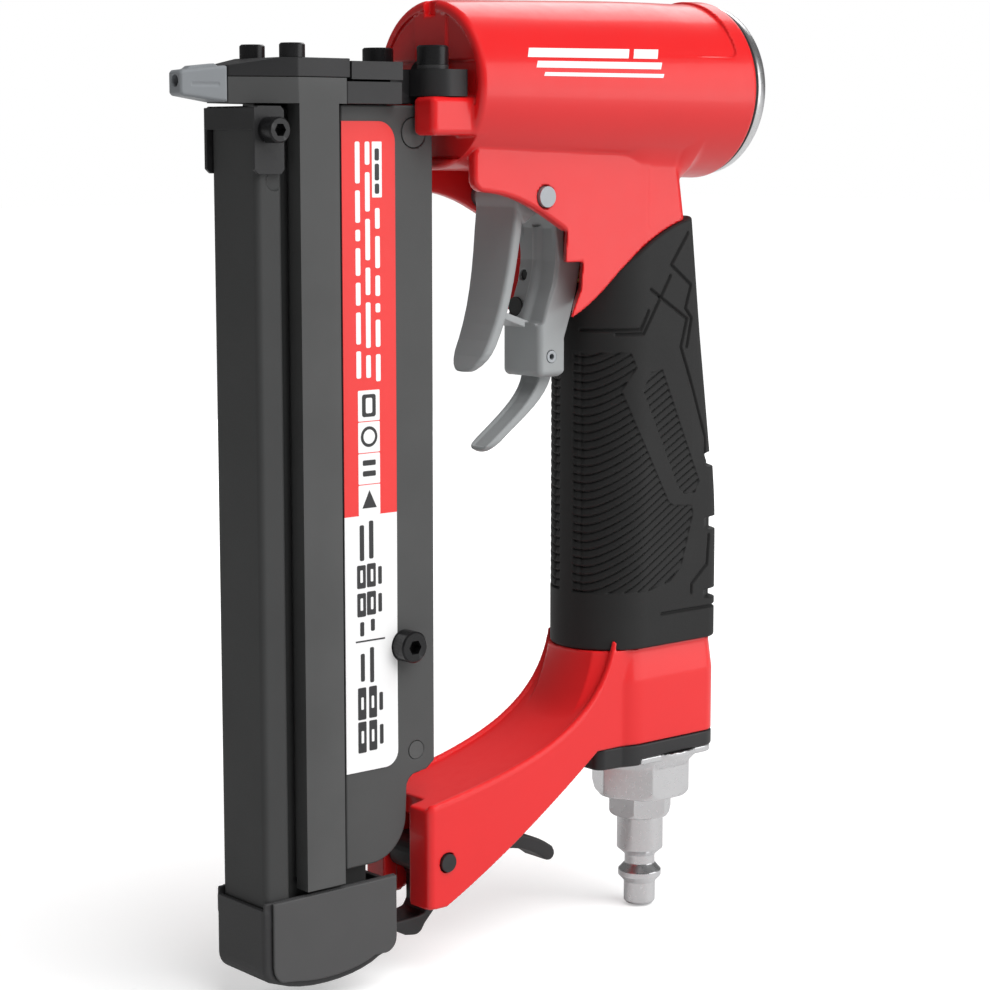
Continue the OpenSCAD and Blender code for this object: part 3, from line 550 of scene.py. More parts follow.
# the pattern is laid out in (s, z), s being the way round the grip from the middle of its front
RIB_PITCH = 2.03
RIB_DEPTH = 0.5
RIB_FADE = 0.25  # over which the ribs start at the edge of their zone
LINE_DEPTH = 0.35  # the fine line between two ribs, and the well the long ribs start in
GROOVE_DEPTH = 0.6
NOTCH_DEPTH = 1.5
LONG_RIBS = outline([
    (2.2, 82.9), (22.6, 82.9), (30, 84.5), (33.7, 87.7), (37.6, 100.6), (37.2, 102.8), (31, 103.3),
    (29.3, 104.3), (19.5, 121.8), (14.8, 132), (18.7, 137.4), (17, 141.2), (2.2, 141.2),
])
SHORT_RIBS = outline([
    (26.8, 136.6), (23, 136.2), (20.3, 132), (32.3, 107.6), (34.5, 105.6), (38, 105.6), (39.7, 108.4),
])
GROOVES = [
    [(4.3, 146.4), (19.5, 146.4), (21.9, 150.8)],
    [(13.2, 145.4), (20.3, 145.4), (29, 158.9)],
    [(22.7, 155.8), (34.6, 148.4), (32.7, 141.7), (42, 118.9), (42, 115.1)],
    [(34.8, 169), (29.2, 161.5), (35.9, 156.5), (34.1, 150.9), (36.2, 148.5), (34.7, 141.6)],
    [(43.1, 94.7), (42.5, 87.5), (37.2, 83.1), (37.2, 80.9)],
    [(27.2, 76.8), (60, 76.8)],
]
REAR_NOTCHES = [(111.7, 115.1), (96, 99.2), (78.9, 81.2)]


def grip_pattern(x, side, z):
    """How deep the ribs and grooves are sunk."""
    turn = np.arctan2(side, np.maximum(GRIP_CX - x, 1e-6))
    s = np.where(x < GRIP_CX, GRIP_Y * turn, GRIP_Y * math.pi / 2 + (x - GRIP_CX))
    rise = 0.62 * (np.hypot(s - 5, 6) - 6)
    sink = 0.0
    for zone, phase in ((LONG_RIBS, (z - rise) / RIB_PITCH), (SHORT_RIBS, (z - 0.55 * s) / RIB_PITCH)):
        inside = np.clip(-zone(s, z) / RIB_FADE, 0, 1)
        at = np.mod(phase, 1)
        line = np.minimum(at, 1 - at) * RIB_PITCH
        sink = sink + inside * (RIB_DEPTH * at**1.5 + LINE_DEPTH * np.clip(1.3 - line / 0.28, 0, 1))
    # the long ribs start in a shallow well on the rounded corner
    well = np.clip(1 - np.abs(s - 4.6) / 0.8, 0, 1) * np.clip(-LONG_RIBS(s, z) / RIB_FADE, 0, 1)
    sink = sink + LINE_DEPTH * well
    for line in GROOVES:
        sink = sink + GROOVE_DEPTH * np.clip(1.15 - near_line(s, z, line) / 0.45, 0, 1)
    return sink


def grip_sleeve(x, y, z):
    """The rubber sleeve, with ribs, grooves and three notches in its rear edge."""
    form = handle(x, y, z, 0)
    sink = only(np.abs(form) < 1.9, grip_pattern, x, np.abs(y), z, rest=0.0)
    for low, high in REAR_NOTCHES:
        gap = np.clip(-slab(z, low, high) / 0.5 + 0.2, 0, 1)
        sink = sink + NOTCH_DEPTH * gap * np.clip((x - 64.5) / 2.5, 0, 1)
    # above the notches the rear edge lies a little deeper
    sink = sink + 0.5 * np.clip((z - 113) / 1.5, 0, 1) * np.clip((x - 60) / 4, 0, 1)
    outer = meet(form + sink, grip_edge(x, z), 0.7)
    outer = cut(outer, handle(x, y, z, 2.15))
    return cut(outer, meet(rod(y, z, (0, VALVE_Z), VALVE_RADIUS), slab(x, 33, 40)))


# ---------------------------------------------------------------- trigger group

blade_shape = outline(
    curve((9.4, 180), (7.6, 162), (6.2, 150), (-1.6, 138)) + curve((0.8, 137.6), (9, 148), (9.8, 160), (12, 176))
)
blade_front = outline(
    [(-7.4, 190), (-7.2, 170)]
    + [(-5.8 * math.cos(math.radians(i * 15)), 143.8 - 6.2 * math.sin(math.radians(i * 15))) for i in range(13)]
    + [(7.2, 170), (7.4, 190)]
)
flange_shape = outline([
    (21.6, 171), (22.8, 163), (21.9, 158), (19.6, 152.5), (17.6, 147), (16.9, 144), (16.9, 137), (18.2, 135.8),
    (23.3, 135.8), (24.7, 137.2), (24.7, 145), (26.7, 150.5), (28.4, 156), (29.8, 163), (24.5, 163), (24.5, 171),
    (20, 180), (14, 182.5),
])
web_shape = outline([
    (14, 182.4), (19.8, 180), (24.3, 171), (24.3, 163), (23.5, 157), (20.8, 151), (19.3, 147.6), (17.8, 147.6),
    (19.2, 152), (21.4, 158), (22.2, 163), (22.2, 170.6), (18.4, 178), (14, 179),
])
front_web = outline([(16.9, 148), (16.9, 135.9), (18, 135.9), (18, 147.6), (19.3, 147.6), (19.3, 149)])
neck_shape = outline([(9.6, 176), (10.5, 181.5), (13, 182.4), (16, 180), (15, 174), (11.8, 172)])
rib_shape = outline([(6, 150.6), (6.4, 152.2), (18.3, 148.2), (17.5, 146.6)])
CHANNEL_FRONT = 16.9
CHANNEL_Y = 6.8
CHANNEL_BOTTOM = 135.9
CHANNEL_BEND = 149  # below this its front is upright
HOLE_Y = 4.6
TRIGGER_HOLES = ((152, 2.4, 19), (159.4, 1.3, 22.1))  # height, radius and front of each blind hole in the web


def trigger(x, y, z):
    """The finger blade in front and the channel behind it, joined at the pivot and by a rib."""
    side = np.abs(y)
    blade = meet(blade_shape(x, z), blade_front(y, z), 0.9)
    boss = meet(rod(x, z, TRIGGER_PIVOT, 4.2), side - 7.2, 0.4)
    channel = meet(CHANNEL_FRONT - x, side - CHANNEL_Y, 1.5)
    flanges = meet(flange_shape(x, z), slab(side, 5.2, CHANNEL_Y), 0.4)
    d = join(boss, blade, 0.8)
    for shape, width in ((neck_shape, 7.2), (web_shape, 6.3), (front_web, CHANNEL_Y), (rib_shape, 5)):
        d = join(d, meet(shape(x, z), side - width, 0.2), 0.5)
    d = join(d, flanges, 0.3)
    # rounded front corners and lower end of the channel
    low = meet(meet(channel, CHANNEL_BOTTOM - z, 1.6), z - CHANNEL_BEND)
    d = np.where((z < CHANNEL_BEND) & (x > 14), meet(d, low), d)
    column = np.interp(z, [148, 152, 158, 163, 170], [18.3, 19.7, 21.7, 22.6, 22.4])
    d = join(d, meet(rod(y, x, (0, column), 1.5), slab(z, 148.2, 171)), 0.6)
    for height, radius, front in TRIGGER_HOLES:
        d = cut(d, meet(rod(y, z, (HOLE_Y, height), radius), slab(x, front - 3, front + 0.9)))
    d = cut(d, rod(x, z, TRIGGER_PIVOT, 2.46))
    return cut(d, rod(x, z, SAFETY_PIVOT, 1.46), 0.1)


lever_front = curve((19.9, 136.2), (18.8, 130.6), (12, 126.6), (3.9, 120.6))
lever_shape = outline(
    [(18.2, 139.8)] + lever_front + [(3.4, 119.7), (4.2, 118.9), (5.4, 119.1)]
    + curve((7, 120.4), (13, 125.4), (21.4, 129.4), (23.7, 135.5)) + arc(*SAFETY_PIVOT, 2.45, 0, 180, 12)
)
lever_hollow = outline(
    [(x + 0.4, z - 0.4) for x, z in lever_front] + [(x - 4, z + 4) for x, z in lever_front[::-1]]
)


LEVER_Y = 3.5
LEVER_TIP_Z = 122.2  # below this its end is round


def safety_lever(x, y, z):
    """The lower lever, hollow along its front."""
    side = np.abs(y)
    d = meet(lever_shape(x, z), side - LEVER_Y, 0.6)
    d = meet(d, np.where(z < LEVER_TIP_Z, np.hypot(y, z - LEVER_TIP_Z), side) - LEVER_Y, 0.6)
    d = cut(d, meet(lever_hollow(x, z), side - 2.2, 0.4), 0.4)
    return cut(d, rod(x, z, SAFETY_PIVOT, 1.46))


# ---------------------------------------------------------------- foot, latch, tip

foot_shape = outline(
    [(-65, 24.3)] + arc(-61, 10.8, 4, 180, 235, 4) + curve((-58, 5.6), (-50, 3.2), (-38, 4.2), (-33, 7.2), 8)
    + arc(-32.5, 11.5, 4, -75, 0, 5) + [(-28.5, 24.3)]
)
panel_shape = outline(
    [(-62.9, 25.7)] + arc(-58.5, 11.2, 4.4, 180, 240, 5) + curve((-57, 6.9), (-50, 5.2), (-40, 5.8), (-35, 8.2), 8)
    + arc(-32, 11.3, 3.3, -80, 0, 5) + [(-28.7, 25.7)]
)
latch_shape = outline(
    arc(*LATCH_PIVOT, 4.6, 60, 215, 10)
    + [(-15.9, 22), (-15.2, 20.4), (-15.2, 14.6), (-16.2, 13), (-17.8, 12.6), (-26.2, 12.4), (-26.3, 11.4)]
    + [(-24.4, 10.1), (-21.3, 8.4)] + arc(-18.6, 10.6, 2.6, -105, -45, 4)
    + curve((-15.8, 10.2), (-9.5, 15.6), (-7.4, 22.6), (2, 23.6), 6)
    + curve((2, 23.6), (12, 24), (17, 22), (21.8, 18.3), 10)[1:]
    + arc(22.9, 19.7, 1.7, 232, 395, 8) + curve((23.9, 21.4), (17, 26.5), (10, 27.2), (0, 28.8), 10)
)


FOOT_Y = 9.2
CUP_Y = 8.48


def foot_cap(x, y, z):
    """The foot: a cup round the magazine's lower end, with a lug that the latch hooks."""
    side = np.abs(y)
    d = meet(foot_shape(x, z), side - FOOT_Y, 1.0)
    walls = brick(x, side, z, (-64.8, -28.5), (CUP_Y, FOOT_Y), (20, 25.9), 0.3)
    d = join(d, walls, 0.2)
    d = join(d, brick(x, side, z, (-29.5, -26.6), (-4, 3.9), (13.6, 17), 0.4), 0.3)
    return cut(d, brick(x, side, z, (-63.9, -30), (-CUP_Y, CUP_Y), (12.15, 60)), 0.25)


def foot_panels(x, y, z):
    """The lighter panels on the foot's two sides."""
    return meet(panel_shape(x, z), slab(np.abs(y), 9.25, 10), 0.33)


def latch_lever(x, y, z):
    """The hooked lever under the arm."""
    d = meet(latch_shape(x, z), np.abs(y) - 4.2, 0.6)
    return cut(d, rod(x, z, LATCH_PIVOT, 2.16))


TIP_X = (-78.5, -67.65)
tip_side = outline([
    (TIP_X[0], 200.6), (-77.7, 200.1), (TIP_X[1], 198.8), (TIP_X[1], 206.5), (-77.7, 205.4), (TIP_X[0], 204.9),
])
tip_plan = outline([
    (TIP_X[0], -2), (-77.9, -2.4), (TIP_X[1], -4.2), (TIP_X[1], 4.2), (-77.9, 2.4), (TIP_X[0], 2),
])
tip_rib = outline([(-76, 205.6), (-75, 206.3), (-69, 206.9), (-68.2, 206.4), (-68.2, 205), (-76, 204.6)])


def no_mar_tip(x, y, z):
    """The soft tip: a wedge with a rib on top, a shallow flute on each side and a bore for the pins."""
    d = meet(tip_side(x, z), tip_plan(x, y), 0.7)
    d = join(d, meet(tip_rib(x, z), np.abs(y) - 1.2, 0.3), 0.2)
    flute = meet(slab(z, 202, 203), slab(x, -76, -69.5), 0.4)
    d = d + 0.12 * np.clip(-flute / 0.3, 0, 1)
    return cut(d, rod(y, z, (0, AXIS_Z), 1.3), 0.2)


# ---------------------------------------------------------------- magazine, plates, air inlet

plate_shape = outline(
    [(PLATE_X[0], 28.8), (-34, 28.8)] + arc(-34, 38.8, 10, -90, 0, 10)
    + [(-23.8, 43.4)] + arc(-20.6, 44.6, 3.2, 180, 90, 6)
    + [(-18, 48.2), (PLATE_X[1], 50), (PLATE_X[1], PLATE_TOP), (PLATE_X[0], PLATE_TOP)]
)


def sliding_magazine(x, y, z):
    """A channel with a wide front and a narrow rear, and a dimple on its label side."""
    side = np.abs(y)
    d = meet(meet(slab(x, -63.8, -57.1), side - 8.38, 1.25), slab(z, *SLIDE_Z), 0.25)
    d = join(d, meet(meet(slab(x, -58.1, -33), side - 4.1, 0.3), slab(z, *SLIDE_Z), 0.25))
    d = cut(d, brick(x, side, z, (-62.5, -58.4), (-8, 7.08), (14.2, 220)), 0.15)
    d = cut(d, brick(x, side, z, (-62.5, -34.2), (-8, 2.9), (14.2, 220)), 0.15)
    return cut(d, meet(rod(x, z, (-59.1, 182.5), 2.1), y + 7.9, 0.2), 0.2)


def side_plates(x, y, z):
    """Both plates, with two rivet holes each and a screw hole in the one that carries the label."""
    d = meet(plate_shape(x, z), slab(np.abs(y), 6.3, 7.5), 0.25)
    rivets = rod(x, z, (-21, 53.2), 2.1), rod(x, z, (-21, 192.6), 3.35)
    screw = meet(rod(x, z, (-24.3, 78), 2.15), y)
    for hole in (*rivets, screw):
        d = cut(d, hole, 0.12)
    return d


def hexagon(x, y, flats, turn):
    """Distance to a hexagon of the given width over its flats."""
    d = -1e9
    for k in range(3):
        a = math.radians(turn + 60 * k)
        d = np.maximum(d, np.abs(x * math.cos(a) + y * math.sin(a)) - flats / 2)
    return d


SECTION_RISE = 20  # the bracket has the section that the handle has this much higher up
# half sections in (radius, height)
flare = outline([(0, 37.2), (12.1, 37.2), (12.4, 37.6), (14.3, 39.7), (14.6, 40.1), (14.6, 41.4), (0, 41.4)])
plug_profile = outline([
    (0, 0), (3.4, 0), (3.95, 0.6), (3.95, 5.6), (5.4, 7.2), (5.4, 8.6), (3.8, 10.4), (3.8, 12.6), (5.8, 14.4),
    (5.8, 22.8), (5.4, 23.2), (0, 23.2),
])


def chamfer(radial, z, radius, bottom):
    """Distance to the cone that cuts the lower corners off a nut."""
    return (radial - radius) * 0.8 - (z - bottom) * 0.6


def inlet_fitting(x, y, z):
    """The chrome fitting: nut, flare, the plate under the bracket and the tube into the handle."""
    radial = np.hypot(x - PLUG_X, y)
    nut = meet(hexagon(x - PLUG_X, y, 22, 30), slab(z, 28.9, 37.6), 0.25)
    nut = meet(nut, chamfer(radial, z, 11.6, 28.9), 0.3)
    plate = meet(handle(x, y, z + SECTION_RISE, 0.6), meet(slab(z, 39.8, 41.45), 44.6 - x), 0.2)
    d = join(join(nut, flare(radial, z), 0.4), plate, 0.1)
    d = join(d, meet(radial - 8.45, slab(z, 40, 59)), 0.1)
    return cut(d, radial - 5, 0.1)


def inlet_bracket(x, y, z):
    """The black bracket has the base's own section, and a square-shouldered lip in front that hangs lower."""
    section = handle(x, y, z + SECTION_RISE, 0.3)
    lip = meet(slab(x, 32, 44.5), np.abs(y) - 11.4 - 0.12 * (x - 32), 2.2)
    d = meet(join(section, lip), slab(z, 41.5, 45.15), 0.4)
    low = meet(meet(join(section, lip), x - 44.5, 0.8), slab(z, 39.9, 44), 0.6)
    d = join(d, low)
    return cut(d, rod(x, y, (PLUG_X, 0), 8.6))


def air_plug(x, y, z):
    """The quarter-inch plug, its nut and its thread in the fitting."""
    radial = np.hypot(x - PLUG_X, y)
    nut = meet(hexagon(x - PLUG_X, y, 14.2, 5), slab(z, 23.1, 28.75), 0.2)
    nut = meet(nut, chamfer(radial, z, 7.4, 23.1), 0.25)
    d = join(plug_profile(radial, z), nut, 0.1)
    d = join(d, meet(radial - 4.9, slab(z, 28, 40)))
    return cut(d, radial - 2.6, 0.25)


# field, corners of the box it is sampled in, step and finish
skin(housing, (-23.5, -21.5, 16), (74.2, 21.5, 224.8), 0.62, RED)
skin(grip_sleeve, (30.5, -14.2, 68.8), (72, 14.2, 174.5), 0.3, RUBBER)
skin(sliding_magazine, (-64, -8.6, 12), (-32.8, 8.6, 198.4), 0.5, SLIDE)
skin(side_plates, (-41.2, -7.7, 28.6), (-15.4, 7.7, 198.7), 0.45, STEEL)
skin(inlet_bracket, (31.6, -14.2, 39.6), (72, 14.2, 45.4), 0.4, BLACK)
skin(inlet_fitting, (42, -14.8, 28.6), (72, 14.8, 59.2), 0.42, CHROME)
skin(air_plug, (48.6, -8.4, -0.2), (65.4, 8.4, 40.2), 0.3, CHROME)
skin(trigger, (-2, -7.7, 135.4), (30.2, 7.7, 183), 0.36, PLASTIC)
skin(safety_lever, (3, -3.7, 118.4), (24, 3.7, 143.5), 0.3, PLASTIC)
skin(foot_cap, (-65.2, -9.4, 3.8), (-26.4, 9.4, 26.2), 0.42, FOOT)
skin(foot_panels, (-63.2, -10.2, 5), (-28.4, 10.2, 26), 0.3, PANEL)
skin(latch_lever, (-26.6, -5, 7), (24.8, 5, 32), 0.42, BLACK)
skin(no_mar_tip, (-78.7, -4.4, 198.6), (-67.4, 4.4, 207.2), 0.25, TIP)

DARK_NODES = ("nose_cover", "nose_flange", "guide_block", "stop_bracket")
for node, width in (
    ("rear_cap", 0.35), ("nose_flange", 0.5), ("guide_block", 0.3), ("driver_guide", 0.3), ("nose_cover", 0.35),
    ("fixed_magazine", 0.2), ("stop_bracket", 0.3), ("trigger_pin", 0.3), ("latch_pin", 0.3),
):
    soften(node, NOSE if node in DARK_NODES else FINISH[SLOT_OF[node]], width)
for node in ("nose_cover_screws", "nose_flange_screws", "side_screw", "bracket_screw"):
    soften(node, SCREW, 0.25)

# ---------------------------------------------------------------- springs, wound in one wire


def spring(node, start, axis, length, radius, wire, turns):
    """A compression spring with closed ends, for a CAD node. start is the middle of its first end."""
    along = np.eye(3)["xyz".index(axis)]
    across, up = np.roll(along, 1), np.roll(along, 2)
    count, sides = int(turns * 20), 8
    t = np.linspace(0, 1, count + 1)
    angle = 2 * math.pi * turns * t
    closed = 0.6  # of a turn at each end
    ease = np.clip((t * turns - closed) / (turns - 2 * closed), 0, 1)
    way = wire + (length - 2 * wire) * ease
    out = np.cos(angle)[:, None] * across + np.sin(angle)[:, None] * up
    centre = np.array(start) + out * radius + way[:, None] * along
    points, faces = [], []
    for i in range(count + 1):
        for k in range(sides):
            a = 2 * math.pi * k / sides
            points.append(tuple(centre[i] + wire * (math.cos(a) * out[i] + math.sin(a) * along)))
    for i in range(count):
        for k in range(sides):
            m = (k + 1) % sides
            faces.append([i * sides + k, i * sides + m, (i + 1) * sides + m, (i + 1) * sides + k])
    faces.append(list(range(sides)))
    faces.append([count * sides + k for k in range(sides)][::-1])
    mesh = closed_mesh(node, points, faces)
    mesh.polygons.foreach_set("use_smooth", [True] * len(mesh.polygons))
    return place(mesh, node + "_wound", [node], WIRE)


ends = [corner[0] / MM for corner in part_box("head_valve_spring")]
spring("head_valve_spring", (ends[0], 0, AXIS_Z), "x", ends[1] - ends[0], 13.25, 0.55, 4)
spring("valve_spring", (52.9, 0, VALVE_Z), "x", 6, 3, 0.38, 5)
feed = spring("pusher_spring", (-48, 0, 14.5), "z", 165.3, 2, 0.34, 40)
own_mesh(feed)
hold = spring("latch_spring", (-11, 0, 31), "z", 4.3, 1.8, 0.33, 4)
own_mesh(hold)

# ---------------------------------------------------------------- label and decal, plain shapes in place of print

LABEL_Y = -7.75
PRINT = 0.06  # thickness of a printed layer
MARK_Y = LABEL_Y - PRINT / 2
INK_Y = MARK_Y - PRINT / 2
LIGHT_Y = INK_Y - PRINT / 2
LABEL_SPLIT = 108.7
LABEL_X = (PLATE_X[0], -26.4)
SYMBOL_X = -34.1
COLUMNS = (-31.4, SYMBOL_X, -36.8)


def film(name, rims, finish, y=LABEL_Y, thick=0.2, nodes=()):
    """Flat XZ outlines given thickness, their outer face at y."""
    points, faces = [], []
    for rim in rims:
        n, k = len(rim), len(points)
        points += [(x, y, z) for x, z in rim]
        points += [(x, y + thick, z) for x, z in rim]
        faces.append([k + i for i in range(n)])
        faces.append([k + n + i for i in reversed(range(n))])
        faces += [[k + i, k + n + i, k + n + (i + 1) % n, k + (i + 1) % n] for i in range(n)]
    place(closed_mesh(name, points, faces), name, list(nodes), finish, "tool_body")


def tile(x0, x1, z0, z1, r=0.3):
    """A rounded rectangle."""
    return (
        arc(x1 - r, z1 - r, r, 0, 90, 4) + arc(x0 + r, z1 - r, r, 90, 180, 4)
        + arc(x0 + r, z0 + r, r, 180, 270, 4) + arc(x1 - r, z0 + r, r, 270, 360, 4)
    )


def bar(x, width, top, length):
    """A short bar that stands for a word, its middle at x."""
    return tile(x - width / 2, x + width / 2, top - length, top, width * 0.3)


def row(x, width, top, lengths, gap):
    """A row of bars down the label, from the top."""
    bars = []
    for length in lengths:
        bars.append(bar(x, width, top, length))
        top -= length + gap
    return bars


red_rim = (
    [(LABEL_X[0], LABEL_SPLIT), (LABEL_X[1], LABEL_SPLIT)] + arc(-30.9, 190.6, 4.5, 0, 90, 8)
    + [(LABEL_X[0], 195.1)]
)
white_rim = (
    [(LABEL_X[0], 50.7)] + arc(-29.9, 54.2, 3.5, -90, 0, 8) + arc(-24.3, 78, 3.85, 236, 124, 8)
    + [(LABEL_X[1], LABEL_SPLIT), (LABEL_X[0], LABEL_SPLIT)]
)
film("label_upper", [red_rim], LABEL_RED, nodes=["label"])
film("label_lower", [white_rim], LABEL_WHITE)
film("label_badge", [tile(-32.8, -30.1, 178.6, 190.7, 0.2)], LABEL_WHITE, MARK_Y, PRINT)
film(
    "label_white_bars",
    row(COLUMNS[0], 1.3, 176.3, (4.5, 7, 4.5, 2, 6, 6), 1.6)
    + row(COLUMNS[1], 1.3, 190.7, (5, 8.5, 9, 6, 10, 5), 1.6)
    + row(COLUMNS[2], 1.3, 190.7, (9, 7, 2.5, 6, 5, 7, 6), 1.5)
    + [tile(-37.1, -31.1, top - 6.8, top, 0.25) for top in (136.496, 129.492, 122.488, 115.484)],
    LABEL_WHITE, MARK_Y, PRINT,
)
SYMBOLS = [
    tile(-36, -32.2, 130.6, 135.6, 0.6), arc(SYMBOL_X, 126.2, 2.3, 0, 350, 24),
    tile(-35.9, -32.3, 117.4, 118.6, 0.3), tile(-35.9, -32.3, 119.8, 121, 0.3),
    [(-36.1, 110.3), (-32.1, 110.3), (SYMBOL_X, 114.3)],
]
BOXES = [
    tile(-34.95, -32.5, 92.5, 97.8), tile(-37.7, -35.3, 92.4, 97.6), tile(-35, -32.5, 86.2, 91.5),
    tile(-37.7, -35.3, 86, 91.3), tile(-34.6, -32.4, 62.7, 69.9), tile(-37.7, -35.4, 62.6, 69.9),
    tile(-34.6, -32.4, 55.2, 62.1), tile(-37.7, -35.4, 55, 62.1),
]
RULE = tile(-38.2, -30, 80.25, 80.6, 0.1)
INK_BARS = [bar(*size) for size in (
    (-33.7, 1.2, 107.4, 8.5), (-36.3, 1.2, 106.6, 8), (-33.4, 1.1, 85.2, 2.7), (-36.4, 1.1, 84.8, 3.2),
    (-33.7, 1.1, 78.8, 8), (-36.3, 1.1, 77.6, 6.3), (-31.3, 1, 96.9, 4), (-31.3, 1, 90.8, 4.2),
    (-31.2, 1, 68.2, 4.1), (-31.1, 1, 60.8, 4.5),
)]
badge_bars = row(-31.45, 1.2, 189.2, (2.6, 3.6, 2.2), 0.7)
film("label_ink", badge_bars + SYMBOLS + BOXES + [RULE] + INK_BARS, INK, INK_Y, PRINT)
film(
    "label_light_marks",
    [arc(SYMBOL_X, 126.2, 1.6, 0, 350, 20), tile(-35, -33.2, 131.4, 134.8, 0.4)]
    + [tile(x - 0.35, x + 0.35, z - 1.4, z + 1.4, 0.2) for x in (-33.6, -36.5) for z in (95.1, 88.8, 66.3, 58.6)],
    LABEL_WHITE, LIGHT_Y, PRINT,
)


def wrap(name, stripes, finish):
    """Thin stripes that follow the barrel's cone, each from x0 to x1, from one angle to another, and slanted."""
    points, faces = [], []
    for x0, x1, a0, a1, slant in stripes:
        nx, na, k = 24, 6, len(points)
        for level in (PRINT, -0.1):
            for i in range(nx + 1):
                for j in range(na + 1):
                    a = math.radians(a0 + (a1 - a0) * j / na)
                    x = x0 + (x1 - x0) * i / nx + slant * j / na
                    r = barrel_radius(x) + level
                    points.append((x * MM, -r * math.cos(a) * MM, (AXIS_Z + r * math.sin(a)) * MM))
        top = lambda i, j: k + i * (na + 1) + j
        low = lambda i, j: top(i, j) + (nx + 1) * (na + 1)
        for i in range(nx):
            for j in range(na):
                faces.append([top(i, j), top(i + 1, j), top(i + 1, j + 1), top(i, j + 1)])
                faces.append([low(i, j), low(i, j + 1), low(i + 1, j + 1), low(i + 1, j)])
        rim = [(i, 0) for i in range(nx)] + [(nx, j) for j in range(na)]
        rim += [(i, na) for i in range(nx, 0, -1)] + [(0, j) for j in range(na, 0, -1)]
        for p, q in zip(rim, rim[1:] + rim[:1]):
            faces.append([top(*q), top(*p), low(*p), low(*q)])
    mesh = bpy.data.meshes.new(name)
    mesh.from_pydata(points, [], faces)
    place(mesh, name, [], finish, "tool_body")


wrap(
    "barrel_stripes",
    [(3, 33, 18.5, 25, 1), (34.5, 42, 18.5, 25, 1), (5, 42.5, 11.5, 16, 0.7), (7, 43, 6, 8.5, 0.4)],
    LABEL_WHITE,
)


def pad(name, at, radius, finish, body):
    """A thin dark disc that faces the nose, painted shade at the bottom of a hole."""
    mesh = bpy.data.meshes.new(name)
    bm = bmesh.new()
    r = radius * MM
    bmesh.ops.create_cone(bm, cap_ends=True, segments=40, radius1=r, radius2=r, depth=0.5 * MM)
    bmesh.ops.rotate(bm, verts=bm.verts, matrix=Matrix.Rotation(math.pi / 2, 3, "Y"))
    bmesh.ops.translate(bm, verts=bm.verts, vec=[c * MM for c in at])
    bm.to_mesh(mesh)
    bm.free()
    place(mesh, name, [], finish, body)


# painted shade: dark discs at the bottom of the trigger's blind holes, so that the holes look deep and dark
for number, (height, radius, front) in enumerate(TRIGGER_HOLES, 1):
    pad(f"trigger_hole_shade_{number}", (front + 0.35, HOLE_Y, height), radius - 0.05, SEAL, BODY_OF["trigger"])

# ---------------------------------------------------------------- camera, light, stage

CAMERA_AT = (-366.0, -441.2, 190.6)
CAMERA_AIM = (0.6412, 0.7544, -0.1406)
LENS = 90.4

optics = bpy.data.cameras.new("camera")
optics.lens = LENS
optics.sensor_width = 36.0
optics.clip_start, optics.clip_end = 0.01, 20.0
camera = bpy.data.objects.new("camera", optics)
camera.location = Vector(CAMERA_AT) * MM
camera.rotation_euler = Vector(CAMERA_AIM).to_track_quat("-Z", "Y").to_euler()
bpy.context.scene.collection.objects.link(camera)
bpy.context.scene.camera = camera

LAMP_AIM = (0.0, 0.0, 0.12)
WHITE = (1, 1, 1, 1)


def lamp(name, at, size, power, size_y=None):
    """A soft rectangular lamp, in metres, turned towards the middle of the tool."""
    light = bpy.data.lights.new(name, "AREA")
    light.shape = "RECTANGLE"
    light.size, light.size_y = size, size_y or size
    light.energy = power
    o = bpy.data.objects.new(name, light)
    o.location = at
    o.rotation_euler = (Vector(LAMP_AIM) - Vector(at)).to_track_quat("-Z", "Y").to_euler()
    bpy.context.scene.collection.objects.link(o)
    return o


lamp("key", (0.62, -0.78, 0.3), 0.8, 2.6, 0.64)
lamp("rear", (0.7, 0.42, 0.8), 0.55, 2.2)
lamp("back", (0.25, 1.0, 0.35), 0.8, 3.5).visible_glossy = False

sun = bpy.data.lights.new("sky", "SUN")
sun.energy = 3.05
sun.angle = math.radians(60)
sky = bpy.data.objects.new("sky", sun)
sky.rotation_euler = Vector((-0.12, 0.58, -0.8)).to_track_quat("-Z", "Y").to_euler()
sky.visible_glossy = False
bpy.context.scene.collection.objects.link(sky)


def shading(tree, kind, **inputs):
    """The output of a new shader node with these inputs."""
    node = tree.nodes.new(kind)
    for key, value in inputs.items():
        node.inputs[key].default_value = value
    return node.outputs[0]


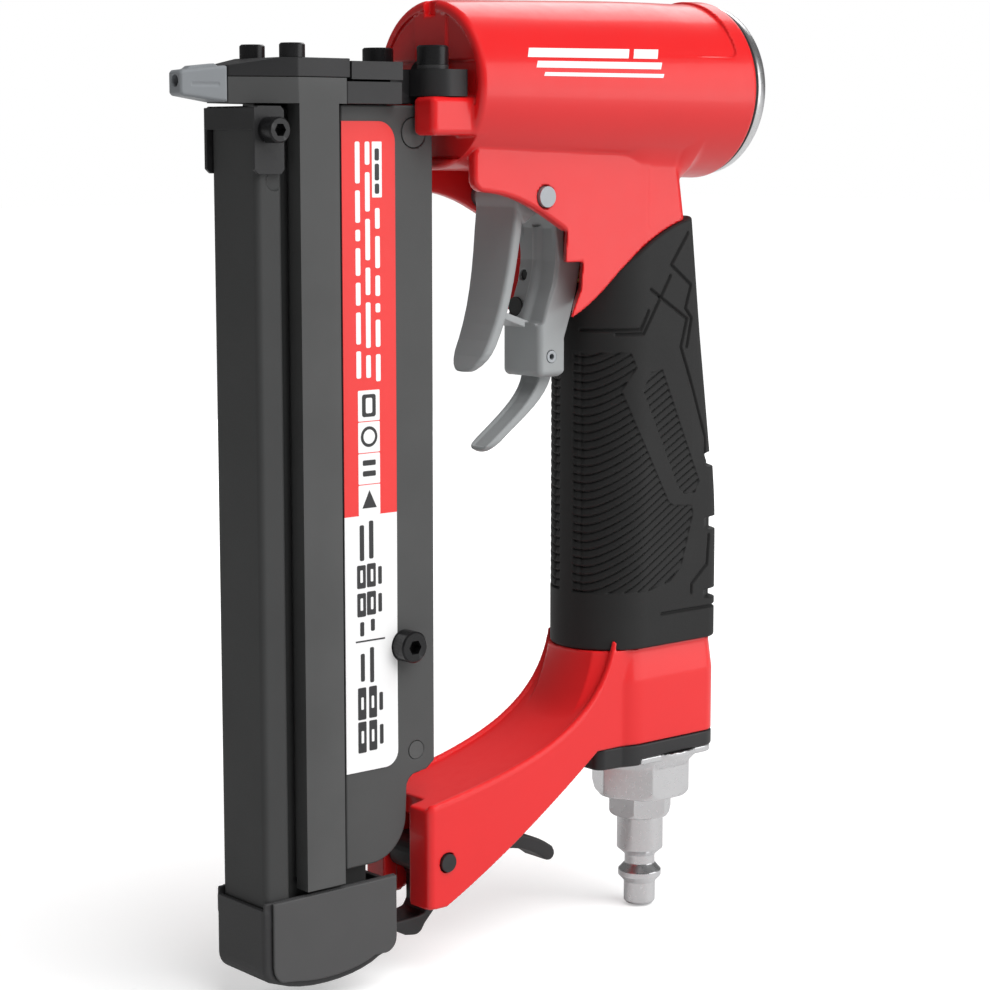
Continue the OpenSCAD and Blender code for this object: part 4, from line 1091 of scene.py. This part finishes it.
def by_ray(tree, ray, usual, special):
    """One shader for a kind of ray, and the usual one for the rest."""
    path = tree.nodes.new("ShaderNodeLightPath")
    mix = tree.nodes.new("ShaderNodeMixShader")
    tree.links.new(path.outputs[ray], mix.inputs["Fac"])
    tree.links.new(usual, mix.inputs[1])
    tree.links.new(special, mix.inputs[2])
    return mix.outputs["Shader"]


def grey(value):
    return (value, value, value, 1)


# the room lights the tool softly, and the camera sees it white
world = bpy.data.worlds.new("studio")
bpy.context.scene.world = world
world.use_nodes = True
tree = world.node_tree
dim = tree.nodes["Background"]
dim.inputs["Color"].default_value = WHITE
dim.inputs["Strength"].default_value = 0.13
bright = shading(tree, "ShaderNodeBackground", Color=WHITE, Strength=1.0)
room = by_ray(tree, "Is Camera Ray", dim.outputs["Background"], bright)
tree.links.new(room, tree.nodes["World Output"].inputs["Surface"])
bpy.context.scene.view_settings.view_transform = "Standard"

FLOOR = 6.0
FLOOR_Z = -0.0005
floor_mesh = bpy.data.meshes.new("floor")
floor_mesh.from_pydata(
    [(FLOOR * i, FLOOR * j, FLOOR_Z) for i, j in ((-1, -1), (1, -1), (1, 1), (-1, 1))], [], [(0, 1, 2, 3)]
)
floor = bpy.data.objects.new("floor", floor_mesh)
bpy.context.scene.collection.objects.link(floor)
paint = material("floor", (0.68, 0.68, 0.68), 0.7, mottle=0.005, specular=0.2)
floor_mesh.materials.append(paint)
# the camera sees the same floor near white, so that the picture has no horizon, and polished metal sees it darker
tree = paint.node_tree
mirrored = shading(tree, "ShaderNodeBsdfDiffuse", Color=grey(0.55))
matt = by_ray(tree, "Is Glossy Ray", tree.nodes["Principled BSDF"].outputs["BSDF"], mirrored)
both = tree.nodes.new("ShaderNodeAddShader")
tree.links.new(shading(tree, "ShaderNodeBsdfDiffuse", Color=grey(0.75)), both.inputs[0])
tree.links.new(shading(tree, "ShaderNodeEmission", Strength=0.4), both.inputs[1])
seen = by_ray(tree, "Is Camera Ray", matt, both.outputs["Shader"])
tree.links.new(seen, tree.nodes["Material Output"].inputs["Surface"])
